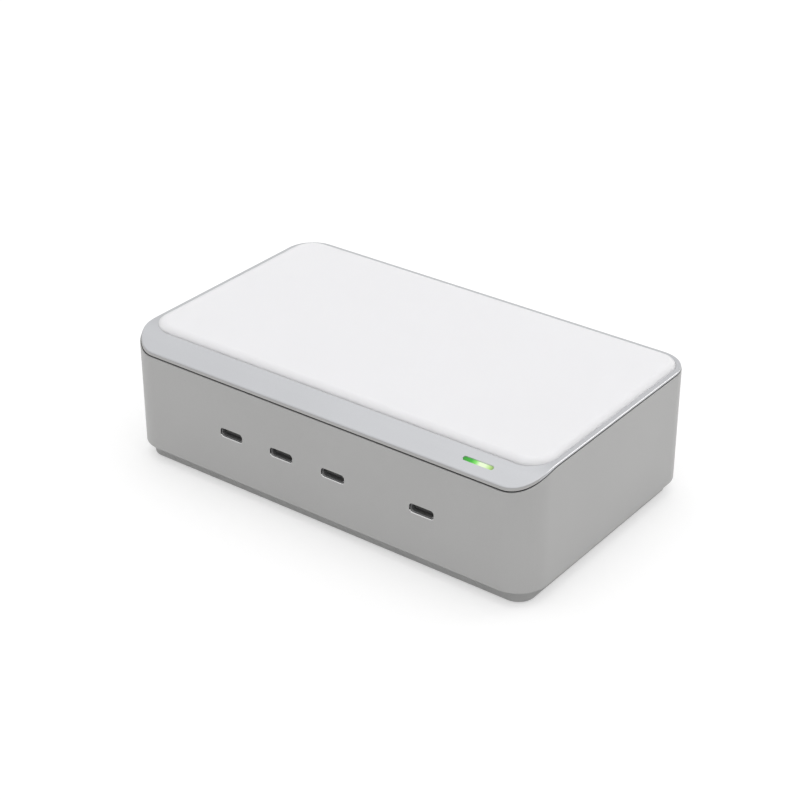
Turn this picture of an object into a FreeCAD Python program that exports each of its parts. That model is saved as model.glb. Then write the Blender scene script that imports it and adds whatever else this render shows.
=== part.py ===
import FreeCAD, Part
import math
import os
import re
import Sketcher

# Desktop USB-C charger: a metal sleeve with four sockets in front and a mains inlet behind,
# a light cap with a sloped front strip and a soft pad, and a plinth that closes it from below.
# Millimetres. +X is right along the front, -Y is the front, +Z is up.
# The origin lies under the middle of the body, on the surface that the feet stand on.

SIZES = {
    # Sleeve
    "body_width": 160.0,
    "body_depth": 94.4,
    "corner_radius": 10.8,
    "wall": 2.4,
    "edge_break": 0.25,
    # Seam between sleeve and cap, seen from the side
    "seam_side": 45.9,
    "seam_front": 40.35,
    "slope_angle": 28.5,
    "slope_blend": 20.0,
    "seam_gap": 0.3,
    "seam_gap_depth": 0.8,
    # Cap
    "cap_side_edge": 0.6,
    "cap_front_edge": 0.9,
    "cap_plate": 2.4,
    "cap_edge_break": 0.4,
    "skirt_depth": 3.0,
    "skirt_thickness": 1.2,
    "fit_gap": 0.15,
    # Pad on the cap
    "pad_margin": 2.4,
    "pad_front": 8.2,
    "pad_corner": 8.2,
    "pad_recess": 0.5,
    "pad_proud": 0.6,
    "pad_edge": 1.0,
    "pad_gap": 0.12,
    # Status light
    "light_from_right": 21.8,
    "light_from_front": 4.4,
    "light_length": 10.4,
    "light_depth": 1.75,
    "light_gap": 0.05,
    "led_length": 3.5,
    "led_height": 1.2,
    "led_gap": 0.1,
    # Plinth and feet
    "foot_proud": 0.5,
    "foot_recess": 0.8,
    "foot_length": 110.0,
    "foot_width": 9.0,
    "foot_from_edge": 14.0,
    "foot_gap": 0.1,
    "plinth_height": 4.8,
    "plinth_inset": 3.5,
    "plinth_break": 0.5,
    "tray_wall": 2.0,
    "tray_floor": 2.0,
    "cover_lip": 2.2,
    "cover_rebate": 1.2,
    "sheet_thickness": 0.4,
    "sheet_margin": 3.0,
    "sheet_gap": 0.5,
    # Cover screws and the cap's posts
    "post_size": 7.0,
    "post_from_wall": 8.1,
    "post_boss_height": 5.0,
    "cover_screw_radius": 1.5,
    "cover_screw_length": 12.0,
    "cover_screw_head_radius": 2.75,
    "cover_screw_head_height": 2.0,
    "cover_screw_sink": 1.0,
    "screw_gap": 0.1,
    "screw_end_gap": 1.0,
    # Boards, and the rests and snap hooks that hold them
    "board_thickness": 1.6,
    "board_wall_gap": 0.5,
    "board_post_gap": 1.5,
    "main_board_height": 11.5,
    "board_margin": 1.0,
    "board_spacing": 3.0,
    "rest_width": 2.5,
    "rest_depth": 6.0,
    "rest_from_end": 7.0,
    "hook_width": 5.0,
    "hook_leg": 1.6,
    "hook_catch": 0.8,
    "hook_rise": 1.5,
    "hook_gap": 0.1,
    "hook_from_back": 6.0,
    # Bars between the boards
    "bar_width": 5.0,
    "bar_thickness": 1.0,
    "bar_foot": 4.0,
    "bar_arm": 2.5,
    "bar_gap": 0.5,
    # USB-C sockets
    "port_1_from_left": 44.85,
    "port_pitch": 20.9,
    "port_4_from_right": 38.95,
    "port_height": 22.3,
    "socket_width": 8.34,
    "socket_height": 2.56,
    "shell_wall": 0.3,
    "shell_length": 9.0,
    "shell_setback": 0.5,
    "port_gap": 0.13,
    "port_break": 0.3,
    "tongue_width": 6.69,
    "tongue_thickness": 0.7,
    "tongue_length": 4.9,
    "tongue_setback": 0.8,
    "tongue_gap": 0.05,
    # Mains inlet
    "inlet_from_right": 24.5,
    "inlet_width": 27.0,
    "inlet_height": 20.0,
    "inlet_length": 20.0,
    "inlet_corner": 1.5,
    "inlet_setback": 0.3,
    "inlet_gap": 0.2,
    "inlet_break": 0.4,
    "cavity_width": 24.4,
    "cavity_height": 16.4,
    "cavity_depth": 16.5,
    "cavity_bevel": 4.5,
    "pin_width": 2.0,
    "pin_height": 4.0,
    "pin_setback": 2.0,
    "pin_tail": 3.0,
    "pin_tip": 0.25,
    "pin_spread": 7.0,
    "pin_drop": 1.0,
    "earth_rise": 3.0,
    "pin_gap": 0.05,
    # Mains side of the main board
    "fuse_width": 4.0,
    "fuse_length": 9.0,
    "fuse_height": 8.0,
    "fuse_from_right": 5.0,
    "fuse_from_back": 16.3,
    "varistor_radius": 5.5,
    "varistor_thickness": 4.2,
    "varistor_from_right": 6.5,
    "varistor_from_back": 26.8,
    "film_width": 18.0,
    "film_depth": 7.5,
    "film_height": 14.0,
    "film_from_right": 21.5,
    "film_from_back": 25.0,
    "line_capacitor_width": 4.0,
    "line_capacitor_length": 7.0,
    "line_capacitor_height": 9.0,
    "line_capacitor_from_right": 30.5,
    "line_capacitor_gap": 0.8,
    "choke_width": 18.0,
    "choke_depth": 5.0,
    "choke_height": 17.0,
    "choke_leg": 4.0,
    "choke_wire": 2.0,
    "choke_gap": 0.2,
    "choke_from_right": 16.0,
    "choke_from_front": 12.5,
    "bridge_thickness": 4.0,
    "bridge_length": 20.0,
    "bridge_height": 16.0,
    "sink_plate": 2.5,
    "sink_length": 30.0,
    "sink_height": 22.0,
    "sink_fin": 1.5,
    "sink_fin_reach": 6.0,
    "sink_fins": 6,
    "sink_from_right": 42.0,
    "sink_from_front": 6.0,
    # Power side of the main board
    "bulk_radius": 8.5,
    "bulk_height": 25.0,
    "bulk_pitch": 17.8,
    "bulk_from_left": 17.5,
    "bulk_from_back": 11.3,
    "core_side": 3.0,
    "core_gap": 0.5,
    "bobbin_wall": 0.8,
    "bobbin_gap": 0.15,
    "transformer_width": 32.0,
    "transformer_depth": 10.0,
    "transformer_height": 25.0,
    "transformer_plate": 4.0,
    "transformer_post": 9.0,
    "transformer_from_left": 18.5,
    "transformer_from_front": 19.0,
    "boost_width": 24.0,
    "boost_depth": 8.0,
    "boost_height": 22.0,
    "boost_plate": 3.5,
    "boost_post": 7.0,
    "boost_from_left": 48.5,
    "boost_from_front": 20.0,
    "card_length": 29.0,
    "card_thickness": 1.2,
    "card_height": 18.0,
    "card_from_left": 23.0,
    "card_from_front": 3.5,
    "switch_size": 8.0,
    "switch_thickness": 0.9,
    "switch_pitch": 9.5,
    "output_sink_length": 20.0,
    "output_sink_thickness": 2.0,
    "output_sink_height": 20.0,
    "output_sink_from_left": 48.5,
    "output_sink_from_front": 6.0,
    "rectifier_width": 8.5,
    "rectifier_thickness": 4.0,
    "rectifier_height": 14.0,
    "rectifier_pitch": 10.0,
    # Port board
    "controller_size": 5.0,
    "controller_height": 0.9,
    "controller_gap": 1.2,
    "inductor_size": 9.0,
    "inductor_height": 5.0,
    "inductor_gap": 0.5,
    "buck_switch_size": 5.0,
    "buck_switch_height": 1.0,
    "beside_port": 8.0,
    "output_capacitor_width": 4.3,
    "output_capacitor_depth": 7.3,
    "output_capacitor_height": 3.1,
}

# Places and sizes that follow from the values above
DERIVED = {
    "half_width": "body_width / 2",
    "half_depth": "body_depth / 2",
    "body_bottom": "foot_proud + plinth_height",
    "cover_top": "body_bottom + cover_lip",
    "floor_top": "foot_proud + tray_floor",
    "boss_top": "floor_top + post_boss_height",
    "gap_front": "seam_front + seam_gap",
    "gap_side": "seam_side + seam_gap",
    "cap_front": "gap_front + cap_front_edge",
    "cap_side": "gap_side + cap_side_edge",
    "under_front": "cap_front - cap_plate",
    "under_side": "cap_side - cap_plate",
    "plug_inset": "wall + fit_gap",
    "above_all": "cap_side + pad_proud + 2 * cap_plate",
    "pad_width": "body_width - 2 * pad_margin",
    "pad_depth": "body_depth - pad_margin - pad_front",
    "pad_y": "(pad_front - pad_margin) / 2",
    "pad_top": "cap_side + pad_proud",
    "light_x": "half_width - light_from_right",
    "light_y": "light_from_front - half_depth",
    "foot_y": "half_depth - plinth_inset - foot_from_edge",
    "post_x": "half_width - wall - post_from_wall",
    "post_y": "half_depth - wall - post_from_wall",
    "screw_seat": "foot_proud + cover_screw_sink + cover_screw_head_height",
    "post_hole": "cover_screw_length + screw_seat - boss_top + screw_end_gap",
    "board_side": "post_x - post_size / 2 - board_post_gap",
    "board_end": "half_depth - wall - board_wall_gap",
    "main_bottom": "main_board_height",
    "main_top": "main_bottom + board_thickness",
    "shell_height": "socket_height + 2 * shell_wall",
    "shell_width": "socket_width + 2 * shell_wall",
    "port_top": "port_height - shell_height / 2",
    "port_bottom": "port_top - board_thickness",
    "port_1_x": "port_1_from_left - half_width",
    "port_2_x": "port_1_x + port_pitch",
    "port_3_x": "port_2_x + port_pitch",
    "port_4_x": "half_width - port_4_from_right",
    "middle_2_3": "(port_2_x + port_3_x) / 2",
    "middle_3_4": "(port_3_x + port_4_x) / 2",
    "shell_rear": "shell_setback + shell_length - half_depth",
    "controller_y": "shell_rear + controller_gap + controller_size / 2",
    "controller_rear": "controller_y + controller_size / 2",
    "inductor_y": "controller_rear + inductor_gap + inductor_size / 2",
    "buck_switch_front": "inductor_y - buck_switch_size / 2",
    "output_capacitor_y": "buck_switch_front - inductor_gap - output_capacitor_depth / 2",
    "port_back": "inductor_y + inductor_size / 2 + board_margin",
    "port_depth": "port_back + board_end",
    "port_middle": "(port_back - board_end) / 2",
    "main_front": "port_back + board_spacing",
    "main_depth": "board_end - main_front",
    "main_middle": "(board_end + main_front) / 2",
    "inlet_x": "board_side - inlet_from_right",
    "inlet_z": "main_top + inlet_height / 2",
    "inlet_face": "half_depth - inlet_setback",
    "pin_front": "inlet_face - pin_setback",
    "pin_length": "inlet_length + pin_tail - pin_setback",
    "film_y": "board_end - film_from_back",
    "line_capacitor_step": "line_capacitor_length + line_capacitor_gap",
    "line_capacitor_y": "film_y - film_depth / 2 - line_capacitor_step + line_capacitor_length / 2",
    "choke_x": "board_side - choke_from_right",
    "choke_y": "main_front + choke_from_front",
    "sink_x": "board_side - sink_from_right",
    "sink_y": "main_front + sink_from_front",
    "bulk_x": "bulk_from_left - board_side",
    "bulk_y": "board_end - bulk_from_back",
    "card_x": "card_from_left - board_side",
    "card_y": "main_front + card_from_front",
    "output_sink_x": "output_sink_from_left - board_side",
    "output_sink_y": "main_front + output_sink_from_front",
    "sheet_width": "2 * (board_side - rest_width - sheet_gap)",
    "sheet_depth": "body_depth - 2 * (plinth_inset + tray_wall + sheet_margin)",
}

PORTS = ("port_1_x", "port_2_x", "port_3_x", "port_4_x")
SEAM = ("seam_front", "seam_side")
GAP_TOP = ("gap_front", "gap_side")
CAP_TOP = ("cap_front", "cap_side")
CAP_UNDER = ("under_front", "under_side")
PAD_SEAT = ("cap_front - pad_recess", "cap_side - pad_recess")
TOLERANCE = 0.001

doc = FreeCAD.newDocument("charger")
sheet = doc.addObject("Spreadsheet::Sheet", "sizes")
for row, (name, number) in enumerate(SIZES.items(), start=1):
    sheet.set(f"A{row}", name)
    sheet.set(f"B{row}", str(number))
    sheet.setAlias(f"B{row}", name)
doc.recompute()
sub_parts = []


def linked(formula):
    """The formula with each named size pointing at its cell of the sheet."""

    def cell(match):
        word = match.group()
        if word in SIZES:
            return "sizes." + word
        if word in DERIVED:
            return "(" + linked(DERIVED[word]) + ")"
        return word

    return re.sub(r"[a-z_][a-z0-9_]*", cell, str(formula))


def value(formula):
    """What the formula comes to with the sheet's present numbers."""
    return float(sheet.evalExpression(linked(formula)))


def link(item, prop, formula):
    item.setExpression(prop, linked(formula))


def place(item, x="0", y="0", z="0"):
    link(item, "Placement.Base.x", x)
    link(item, "Placement.Base.y", y)
    link(item, "Placement.Base.z", z)


def new_body(label):
    body = doc.addObject("PartDesign::Body", label)
    body.Label = label
    return body


def keep(item, label):
    """Names a finished sub-part; its label is also its file's name."""
    item.Label = label
    sub_parts.append(item)
    return item


# Sketches

def sketch_on(body, name, role="XY_Plane", offset="0"):
    sketch = body.newObject("Sketcher::SketchObject", name)
    plane = next(item for item in body.Origin.OriginFeatures if item.Role == role)
    sketch.AttachmentSupport = [(plane, "")]
    sketch.MapMode = "FlatFace"
    link(sketch, "AttachmentOffset.Base.z", offset)
    return sketch


def constrain(sketch, formula, kind, *ends):
    """Adds a dimension that follows a formula."""
    index = sketch.addConstraint(Sketcher.Constraint(kind, *ends, value(formula)))
    sketch.setExpression(f"Constraints[{index}]", linked(formula))


def hold(sketch, geometry, end, x, y):
    """Holds a point of the sketch at signed distances from the sketch's origin."""
    for kind, formula, axis in (("DistanceX", x, -2), ("DistanceY", y, -1)):
        number = value(formula)
        if abs(number) < TOLERANCE:
            sketch.addConstraint(Sketcher.Constraint("PointOnObject", geometry, end, axis))
        elif number > 0:
            constrain(sketch, formula, kind, -1, 1, geometry, end)
        else:
            constrain(sketch, f"-({formula})", kind, geometry, end, -1, 1)


def point(x, y):
    return FreeCAD.Vector(x, y, 0)


def arc(x, y, radius, start, end):
    circle = Part.Circle(point(x, y), FreeCAD.Vector(0, 0, 1), radius)
    return Part.ArcOfCircle(circle, math.radians(start), math.radians(end))


def add_circle(sketch, radius, x="0", y="0"):
    centre = point(value(x), value(y))
    circle = Part.Circle(centre, FreeCAD.Vector(0, 0, 1), value(radius))
    index = sketch.addGeometry(circle, False)
    constrain(sketch, radius, "Radius", index)
    hold(sketch, index, 3, x, y)


def add_rounded_rectangle(sketch, width, depth, radius, x="0", y="0"):
    """A rounded rectangle about (x, y), drawn as four sides joined by tangent arcs."""
    right, top = value(x) + value(width) / 2, value(y) + value(depth) / 2
    left, bottom = right - value(width), top - value(depth)
    r = value(radius)
    outline = [
        Part.LineSegment(point(left + r, bottom), point(right - r, bottom)),
        arc(right - r, bottom + r, r, -90, 0),
        Part.LineSegment(point(right, bottom + r), point(right, top - r)),
        arc(right - r, top - r, r, 0, 90),
        Part.LineSegment(point(right - r, top), point(left + r, top)),
        arc(left + r, top - r, r, 90, 180),
        Part.LineSegment(point(left, top - r), point(left, bottom + r)),
        arc(left + r, bottom + r, r, 180, 270),
    ]
    first = sketch.addGeometry(outline, False)[0]
    for step in range(8):
        sketch.addConstraint(
            Sketcher.Constraint("Tangent", first + step, 2, first + (step + 1) % 8, 1)
        )
    for step in (0, 4):
        sketch.addConstraint(Sketcher.Constraint("Horizontal", first + step))
        sketch.addConstraint(Sketcher.Constraint("Vertical", first + step + 2))
    for step in (3, 5, 7):
        sketch.addConstraint(Sketcher.Constraint("Equal", first + 1, first + step))
    constrain(sketch, radius, "Radius", first + 1)
    constrain(sketch, width, "DistanceX", first + 6, 1, first + 2, 1)
    constrain(sketch, depth, "DistanceY", first, 1, first + 4, 1)
    hold(sketch, first + 2, 2, f"{x} + ({width}) / 2", f"{y} + ({depth}) / 2 - ({radius})")


def add_stadium(sketch, width, height, x="0", y="0"):
    """A slot with round ends about (x, y)."""
    r = value(height) / 2
    reach = value(width) / 2 - r
    cx, cy = value(x), value(y)
    outline = [
        Part.LineSegment(point(cx - reach, cy - r), point(cx + reach, cy - r)),
        arc(cx + reach, cy, r, -90, 90),
        Part.LineSegment(point(cx + reach, cy + r), point(cx - reach, cy + r)),
        arc(cx - reach, cy, r, 90, 270),
    ]
    first = sketch.addGeometry(outline, False)[0]
    for step in range(4):
        sketch.addConstraint(
            Sketcher.Constraint("Tangent", first + step, 2, first + (step + 1) % 4, 1)
        )
    sketch.addConstraint(Sketcher.Constraint("Horizontal", first))
    sketch.addConstraint(Sketcher.Constraint("Equal", first + 1, first + 3))
    constrain(sketch, f"({height}) / 2", "Radius", first + 1)
    constrain(sketch, f"({width}) - ({height})", "DistanceX", first + 3, 3, first + 1, 3)
    hold(sketch, first + 1, 3, f"{x} + ({width}) / 2 - ({height}) / 2", y)


def add_polygon(sketch, corners):
    """A closed outline of straight sides through corners given as pairs of formulas."""
    spots = [point(value(x), value(y)) for x, y in corners]
    sides = [Part.LineSegment(a, b) for a, b in zip(spots, spots[1:] + spots[:1])]
    first = sketch.addGeometry(sides, False)[0]
    count = len(corners)
    for step in range(count):
        sketch.addConstraint(
            Sketcher.Constraint("Coincident", first + step, 2, first + (step + 1) % count, 1)
        )
    for step, (x, y) in enumerate(corners):
        hold(sketch, first + step, 1, x, y)


def add_rectangle(sketch, width, depth, x="0", y="0"):
    right, left = f"{x} + ({width}) / 2", f"{x} - ({width}) / 2"
    top, low = f"{y} + ({depth}) / 2", f"{y} - ({depth}) / 2"
    add_polygon(sketch, [(left, low), (right, low), (right, top), (left, top)])


def add_side_region(sketch, profile, far):
    """The region between a slope-and-flat line, seen from the side, and the level far.

    The line rises from the front at the slope's angle and bends into the flat.
    """
    front, side = profile
    reach = "half_depth + corner_radius"
    low = f"({front}) - corner_radius * tan(slope_angle)"
    angle = value("slope_angle")
    blend = value("slope_blend")
    slope = math.radians(angle)
    flat = value(side)
    meet = -value("half_depth") + (flat - value(front)) / math.tan(slope)
    tangent = blend * math.tan(slope / 2)
    bend_start = point(meet - tangent * math.cos(slope), flat - tangent * math.sin(slope))
    bend_end = point(meet + tangent, flat)
    ends = [value(reach), value(far)]
    outline = [
        Part.LineSegment(point(-ends[0], value(low)), bend_start),
        arc(bend_end.x, flat - blend, blend, 90, 90 + angle),
        Part.LineSegment(bend_end, point(ends[0], flat)),
        Part.LineSegment(point(ends[0], flat), point(*ends)),
        Part.LineSegment(point(*ends), point(-ends[0], ends[1])),
        Part.LineSegment(point(-ends[0], ends[1]), point(-ends[0], value(low))),
    ]
    sketch.addGeometry(outline, False)
    sketch.addConstraint(Sketcher.Constraint("Tangent", 0, 2, 1, 2))
    sketch.addConstraint(Sketcher.Constraint("Tangent", 1, 1, 2, 1))
    for line in (2, 3, 4):
        sketch.addConstraint(Sketcher.Constraint("Coincident", line, 2, line + 1, 1))
    sketch.addConstraint(Sketcher.Constraint("Coincident", 5, 2, 0, 1))
    sketch.addConstraint(Sketcher.Constraint("Horizontal", 2))
    constrain(sketch, "slope_blend", "Radius", 1)
    angle_index = sketch.addConstraint(Sketcher.Constraint("Angle", 0, slope))
    sketch.setExpression(f"Constraints[{angle_index}]", linked("slope_angle * 1 deg"))
    hold(sketch, 0, 1, f"-({reach})", low)
    hold(sketch, 3, 1, reach, side)
    hold(sketch, 4, 1, reach, far)
    hold(sketch, 5, 1, f"-({reach})", far)


# Features

def pad(body, sketch, length, reverse=False, symmetric=False):
    feature = body.newObject("PartDesign::Pad", sketch.Name + "_pad")
    feature.Profile = sketch
    feature.SideType = "Symmetric" if symmetric else "One side"
    feature.Reversed = reverse
    link(feature, "Length", length)
    return feature


def pocket(body, sketch, length, reverse=False, symmetric=False):
    """Cuts the sketch into the body and makes sure that it removed material."""
    doc.recompute()
    before = body.Shape.Volume
    feature = body.newObject("PartDesign::Pocket", sketch.Name + "_pocket")
    feature.Profile = sketch
    feature.SideType = "Symmetric" if symmetric else "One side"
    feature.Reversed = reverse
    link(feature, "Length", length)
    doc.recompute()
    if not body.Shape.Volume < before:
        raise RuntimeError(f"{feature.Name} cuts nothing")
    return feature


def break_edges(body, size, chosen):
    """Breaks the edges of a body that the test chooses with a chamfer."""
    doc.recompute()
    base = body.Tip
    names = [f"Edge{n}" for n, edge in enumerate(base.Shape.Edges, start=1) if chosen(edge)]
    if not names:
        raise RuntimeError(f"{body.Label} has no edge to break")
    feature = body.newObject("PartDesign::Chamfer", body.Name + "_chamfer")
    feature.Base = (base, names)
    link(feature, "Size", size)
    return feature


def spots_on(edge):
    first, last = edge.ParameterRange
    return [edge.valueAt(first + (last - first) * part) for part in (0.0, 0.5, 1.0)]


def level(edge, height):
    """Whether the edge lies at a height above the origin."""
    return all(abs(spot.z - height) < TOLERANCE for spot in spots_on(edge))


def on_outline(edge, width, depth, radius):
    """Whether the edge lies on the wall of a rounded rectangle about the origin and isn't upright."""
    for spot in spots_on(edge):
        over_x = abs(spot.x) - (width / 2 - radius)
        over_y = abs(spot.y) - (depth / 2 - radius)
        if over_x > TOLERANCE and over_y > TOLERANCE:
            away = math.hypot(over_x, over_y) - radius
        else:
            away = max(over_x, over_y) - radius
        if abs(away) > TOLERANCE:
            return False
    ends = spots_on(edge)
    return math.hypot(ends[0].x - ends[2].x, ends[0].y - ends[2].y) > TOLERANCE


def add_body_outline(sketch, inset):
    add_rounded_rectangle(
        sketch,
        f"body_width - 2 * ({inset})",
        f"body_depth - 2 * ({inset})",
        f"corner_radius - ({inset})",
    )


def cut_to_profile(body, name, profile, far):
    """Removes what lies between a slope-and-flat line and the level far."""
    sketch = sketch_on(body, name, "YZ_Plane")
    add_side_region(sketch, profile, far)
    pocket(body, sketch, "2 * body_width", symmetric=True)


def layer(label, inset, lower, upper):
    """A slice of the body's outline between two slope-and-flat lines."""
    body = new_body(label)
    outline = sketch_on(body, label + "_outline")
    add_body_outline(outline, inset)
    pad(body, outline, "above_all")
    cut_to_profile(body, label + "_above", upper, "2 * above_all")
    cut_to_profile(body, label + "_below", lower, "-above_all")
    return body


def block(label, width, depth, height, x, y, z):
    """A square-cornered block standing on z."""
    body = new_body(label)
    outline = sketch_on(body, label + "_outline")
    add_rectangle(outline, width, depth)
    pad(body, outline, height)
    place(body, x, y, z)
    return body


def corners_of(x, y):
    return [(f"{sx}({x})", f"{sy}({y})") for sx in ("", "-") for sy in ("", "-")]


POSTS = corners_of("post_x", "post_y")
FEET = [("0", "foot_y"), ("0", "-foot_y")]


def rectangles_pad(body, name, width, depth, spots, bottom, length):
    sketch = sketch_on(body, name, offset=bottom)
    for x, y in spots:
        add_rectangle(sketch, width, depth, x, y)
    return pad(body, sketch, length)


def circles_pad(body, name, radius, spots, bottom, length):
    sketch = sketch_on(body, name, offset=bottom)
    for x, y in spots:
        add_circle(sketch, radius, x, y)
    return pad(body, sketch, length)


def circles_pocket(body, name, radius, spots, start, length):
    """Cuts round holes upward from a level."""
    sketch = sketch_on(body, name, offset=start)
    for x, y in spots:
        add_circle(sketch, radius, x, y)
    return pocket(body, sketch, length, reverse=True)


# Housing

def make_sleeve():
    body = new_body("body_sleeve")
    outer = sketch_on(body, "sleeve_outer", offset="body_bottom")
    add_body_outline(outer, "0")
    pad(body, outer, "above_all - body_bottom")
    inner = sketch_on(body, "sleeve_inner", offset="body_bottom")
    add_body_outline(inner, "wall")
    pocket(body, inner, "above_all - body_bottom", reverse=True)
    rebate = sketch_on(body, "sleeve_rebate", offset="body_bottom")
    add_body_outline(rebate, "wall - cover_rebate")
    pocket(body, rebate, "cover_lip", reverse=True)
    cut_to_profile(body, "sleeve_seam", SEAM, "2 * above_all")
    width, depth, radius = value("body_width"), value("body_depth"), value("corner_radius")
    break_edges(body, "edge_break", lambda edge: on_outline(edge, width, depth, radius))

    openings = sketch_on(body, "port_openings", "XZ_Plane", "half_depth")
    for port in PORTS:
        add_stadium(openings, "shell_width + 2 * port_gap", "shell_height + 2 * port_gap",
                    port, "port_height")
    pocket(body, openings, "2 * wall")
    rear = sketch_on(body, "inlet_opening", "XZ_Plane", "-half_depth")
    add_rounded_rectangle(rear, "inlet_width + 2 * inlet_gap", "inlet_height + 2 * inlet_gap",
                          "inlet_corner + inlet_gap", "inlet_x", "inlet_z")
    pocket(body, rear, "2 * wall", reverse=True)

    front = -value("half_depth")
    port_level = value("port_height")
    port_reach = value("shell_height")

    def round_a_port(edge):
        return all(
            abs(spot.y - front) < TOLERANCE and abs(spot.z - port_level) < port_reach
            for spot in spots_on(edge)
        )

    break_edges(body, "port_break", round_a_port)
    back = value("half_depth")
    inlet_level = value("inlet_z")
    inlet_reach = value("inlet_height / 2 + 2 * inlet_gap")

    def round_the_inlet(edge):
        return all(
            abs(spot.y - back) < TOLERANCE and abs(spot.z - inlet_level) < inlet_reach
            for spot in spots_on(edge)
        )

    break_edges(body, "inlet_break", round_the_inlet)
    keep(body, "body_sleeve")


def make_cap():
    rim = layer("cap_rim", "0", GAP_TOP, CAP_TOP)
    width, depth, radius = value("body_width"), value("body_depth"), value("corner_radius")
    cut_level = value("cap_front_edge + cap_side_edge") / 2

    def upper_edge(edge):
        """Whether the edge is on the outline and on the cap's top, not on its underside."""
        if not on_outline(edge, width, depth, radius):
            return False
        spot = spots_on(edge)[1]
        below = FreeCAD.Vector(0, 0, cut_level / 2)
        inward = FreeCAD.Vector(-spot.x, -spot.y, 0).normalize() * (cut_level / 2)
        return rim.Tip.Shape.isInside(spot - below + inward, TOLERANCE, False)

    break_edges(rim, "cap_edge_break", upper_edge)

    land = layer("cap_land", "seam_gap_depth", SEAM, GAP_TOP)
    skirt_low = ("under_front - skirt_depth", "under_side - skirt_depth")
    plug = layer("cap_plug", "plug_inset", skirt_low, SEAM)
    hollow = layer("cap_hollow", "plug_inset + skirt_thickness",
                   ("under_front - 2 * skirt_depth", "under_side - 2 * skirt_depth"), CAP_UNDER)

    posts = new_body("cap_posts")
    rectangles_pad(posts, "cap_posts_outline", "post_size", "post_size", POSTS,
                   "boss_top", "above_all")
    cut_to_profile(posts, "cap_posts_above",
                   ("under_front + cap_plate / 2", "under_side + cap_plate / 2"), "2 * above_all")
    circles_pocket(posts, "cap_posts_holes", "cover_screw_radius + screw_gap", POSTS,
                   "boss_top", "post_hole")

    shell = doc.addObject("Part::MultiFuse", "cap_shell")
    shell.Shapes = [rim, land, plug]
    inside = doc.addObject("Part::Cut", "cap_inside")
    inside.Base = shell
    inside.Tool = hollow
    whole = doc.addObject("Part::MultiFuse", "cap_with_posts")
    whole.Shapes = [inside, posts]

    slot = new_body("light_slot")
    outline = sketch_on(slot, "light_slot_outline")
    add_stadium(outline, "light_length + 2 * light_gap", "light_depth + 2 * light_gap",
                "light_x", "light_y")
    pad(slot, outline, "above_all")
    recess = pad_form("pad_recess_form", "pad_gap", "above_all")
    openings = doc.addObject("Part::MultiFuse", "cap_openings")
    openings.Shapes = [slot, recess]
    cap = doc.addObject("Part::Cut", "top_cap")
    cap.Base = whole
    cap.Tool = openings
    cap.Refine = True
    keep(cap, "top_cap")


def pad_form(label, grow, top):
    """The pad's outline, grown all round, from its curved seat up to a level."""
    body = new_body(label)
    outline = sketch_on(body, label + "_outline")
    add_rounded_rectangle(outline, f"pad_width + 2 * {grow}", f"pad_depth + 2 * {grow}",
                          f"pad_corner + {grow}", "0", "pad_y")
    pad(body, outline, top)
    cut_to_profile(body, label + "_seat", PAD_SEAT, "-above_all")
    return body


def make_pad():
    body = pad_form("top_pad", "0", "pad_top")
    top = value("pad_top")
    break_edges(body, "pad_edge", lambda edge: level(edge, top))
    keep(body, "top_pad")


def make_light():
    guide = new_body("light_guide")
    outline = sketch_on(guide, "light_guide_outline", offset="port_top + led_height + led_gap")
    add_stadium(outline, "light_length", "light_depth", "light_x", "light_y")
    pad(guide, outline, "above_all")
    cut_to_profile(guide, "light_guide_above", CAP_TOP, "2 * above_all")
    keep(guide, "light_guide")
    keep(block("status_led", "led_length", "light_depth", "led_height",
               "light_x", "light_y", "port_top"), "status_led")


def make_cover():
    body = new_body("bottom_cover")
    plinth = sketch_on(body, "plinth_outline", offset="foot_proud")
    add_body_outline(plinth, "plinth_inset")
    pad(body, plinth, "plinth_height + cover_lip")
    bottom = value("foot_proud")
    break_edges(body, "plinth_break", lambda edge: level(edge, bottom))
    lip = sketch_on(body, "lip_outline", offset="body_bottom")
    add_body_outline(lip, "wall - cover_rebate + fit_gap")
    pad(body, lip, "cover_lip")
    tray = sketch_on(body, "tray_outline", offset="cover_top")
    add_body_outline(tray, "plinth_inset + tray_wall")
    pocket(body, tray, "cover_top - floor_top")
    rectangles_pad(body, "post_bosses", "post_size", "post_size", POSTS,
                   "floor_top", "post_boss_height")
    circles_pocket(body, "cover_screw_holes", "cover_screw_radius + screw_gap", POSTS,
                   "foot_proud", "above_all")
    circles_pocket(body, "cover_screw_heads", "cover_screw_head_radius + screw_gap", POSTS,
                   "foot_proud", "screw_seat - foot_proud")
    seats = sketch_on(body, "foot_seats", offset="foot_proud")
    for x, y in FEET:
        add_stadium(seats, "foot_length + 2 * foot_gap", "foot_width + 2 * foot_gap", x, y)
    pocket(body, seats, "foot_recess", reverse=True)
    add_board_supports(body)
    keep(body, "bottom_cover")

    feet = new_body("rubber_feet")
    outline = sketch_on(feet, "feet_outline")
    for x, y in FEET:
        add_stadium(outline, "foot_length", "foot_width", x, y)
    pad(feet, outline, "foot_proud + foot_recess")
    keep(feet, "rubber_feet")
    keep(block("insulating_sheet", "sheet_width", "sheet_depth", "sheet_thickness",
               "0", "0", "floor_top"), "insulating_sheet")


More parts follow.
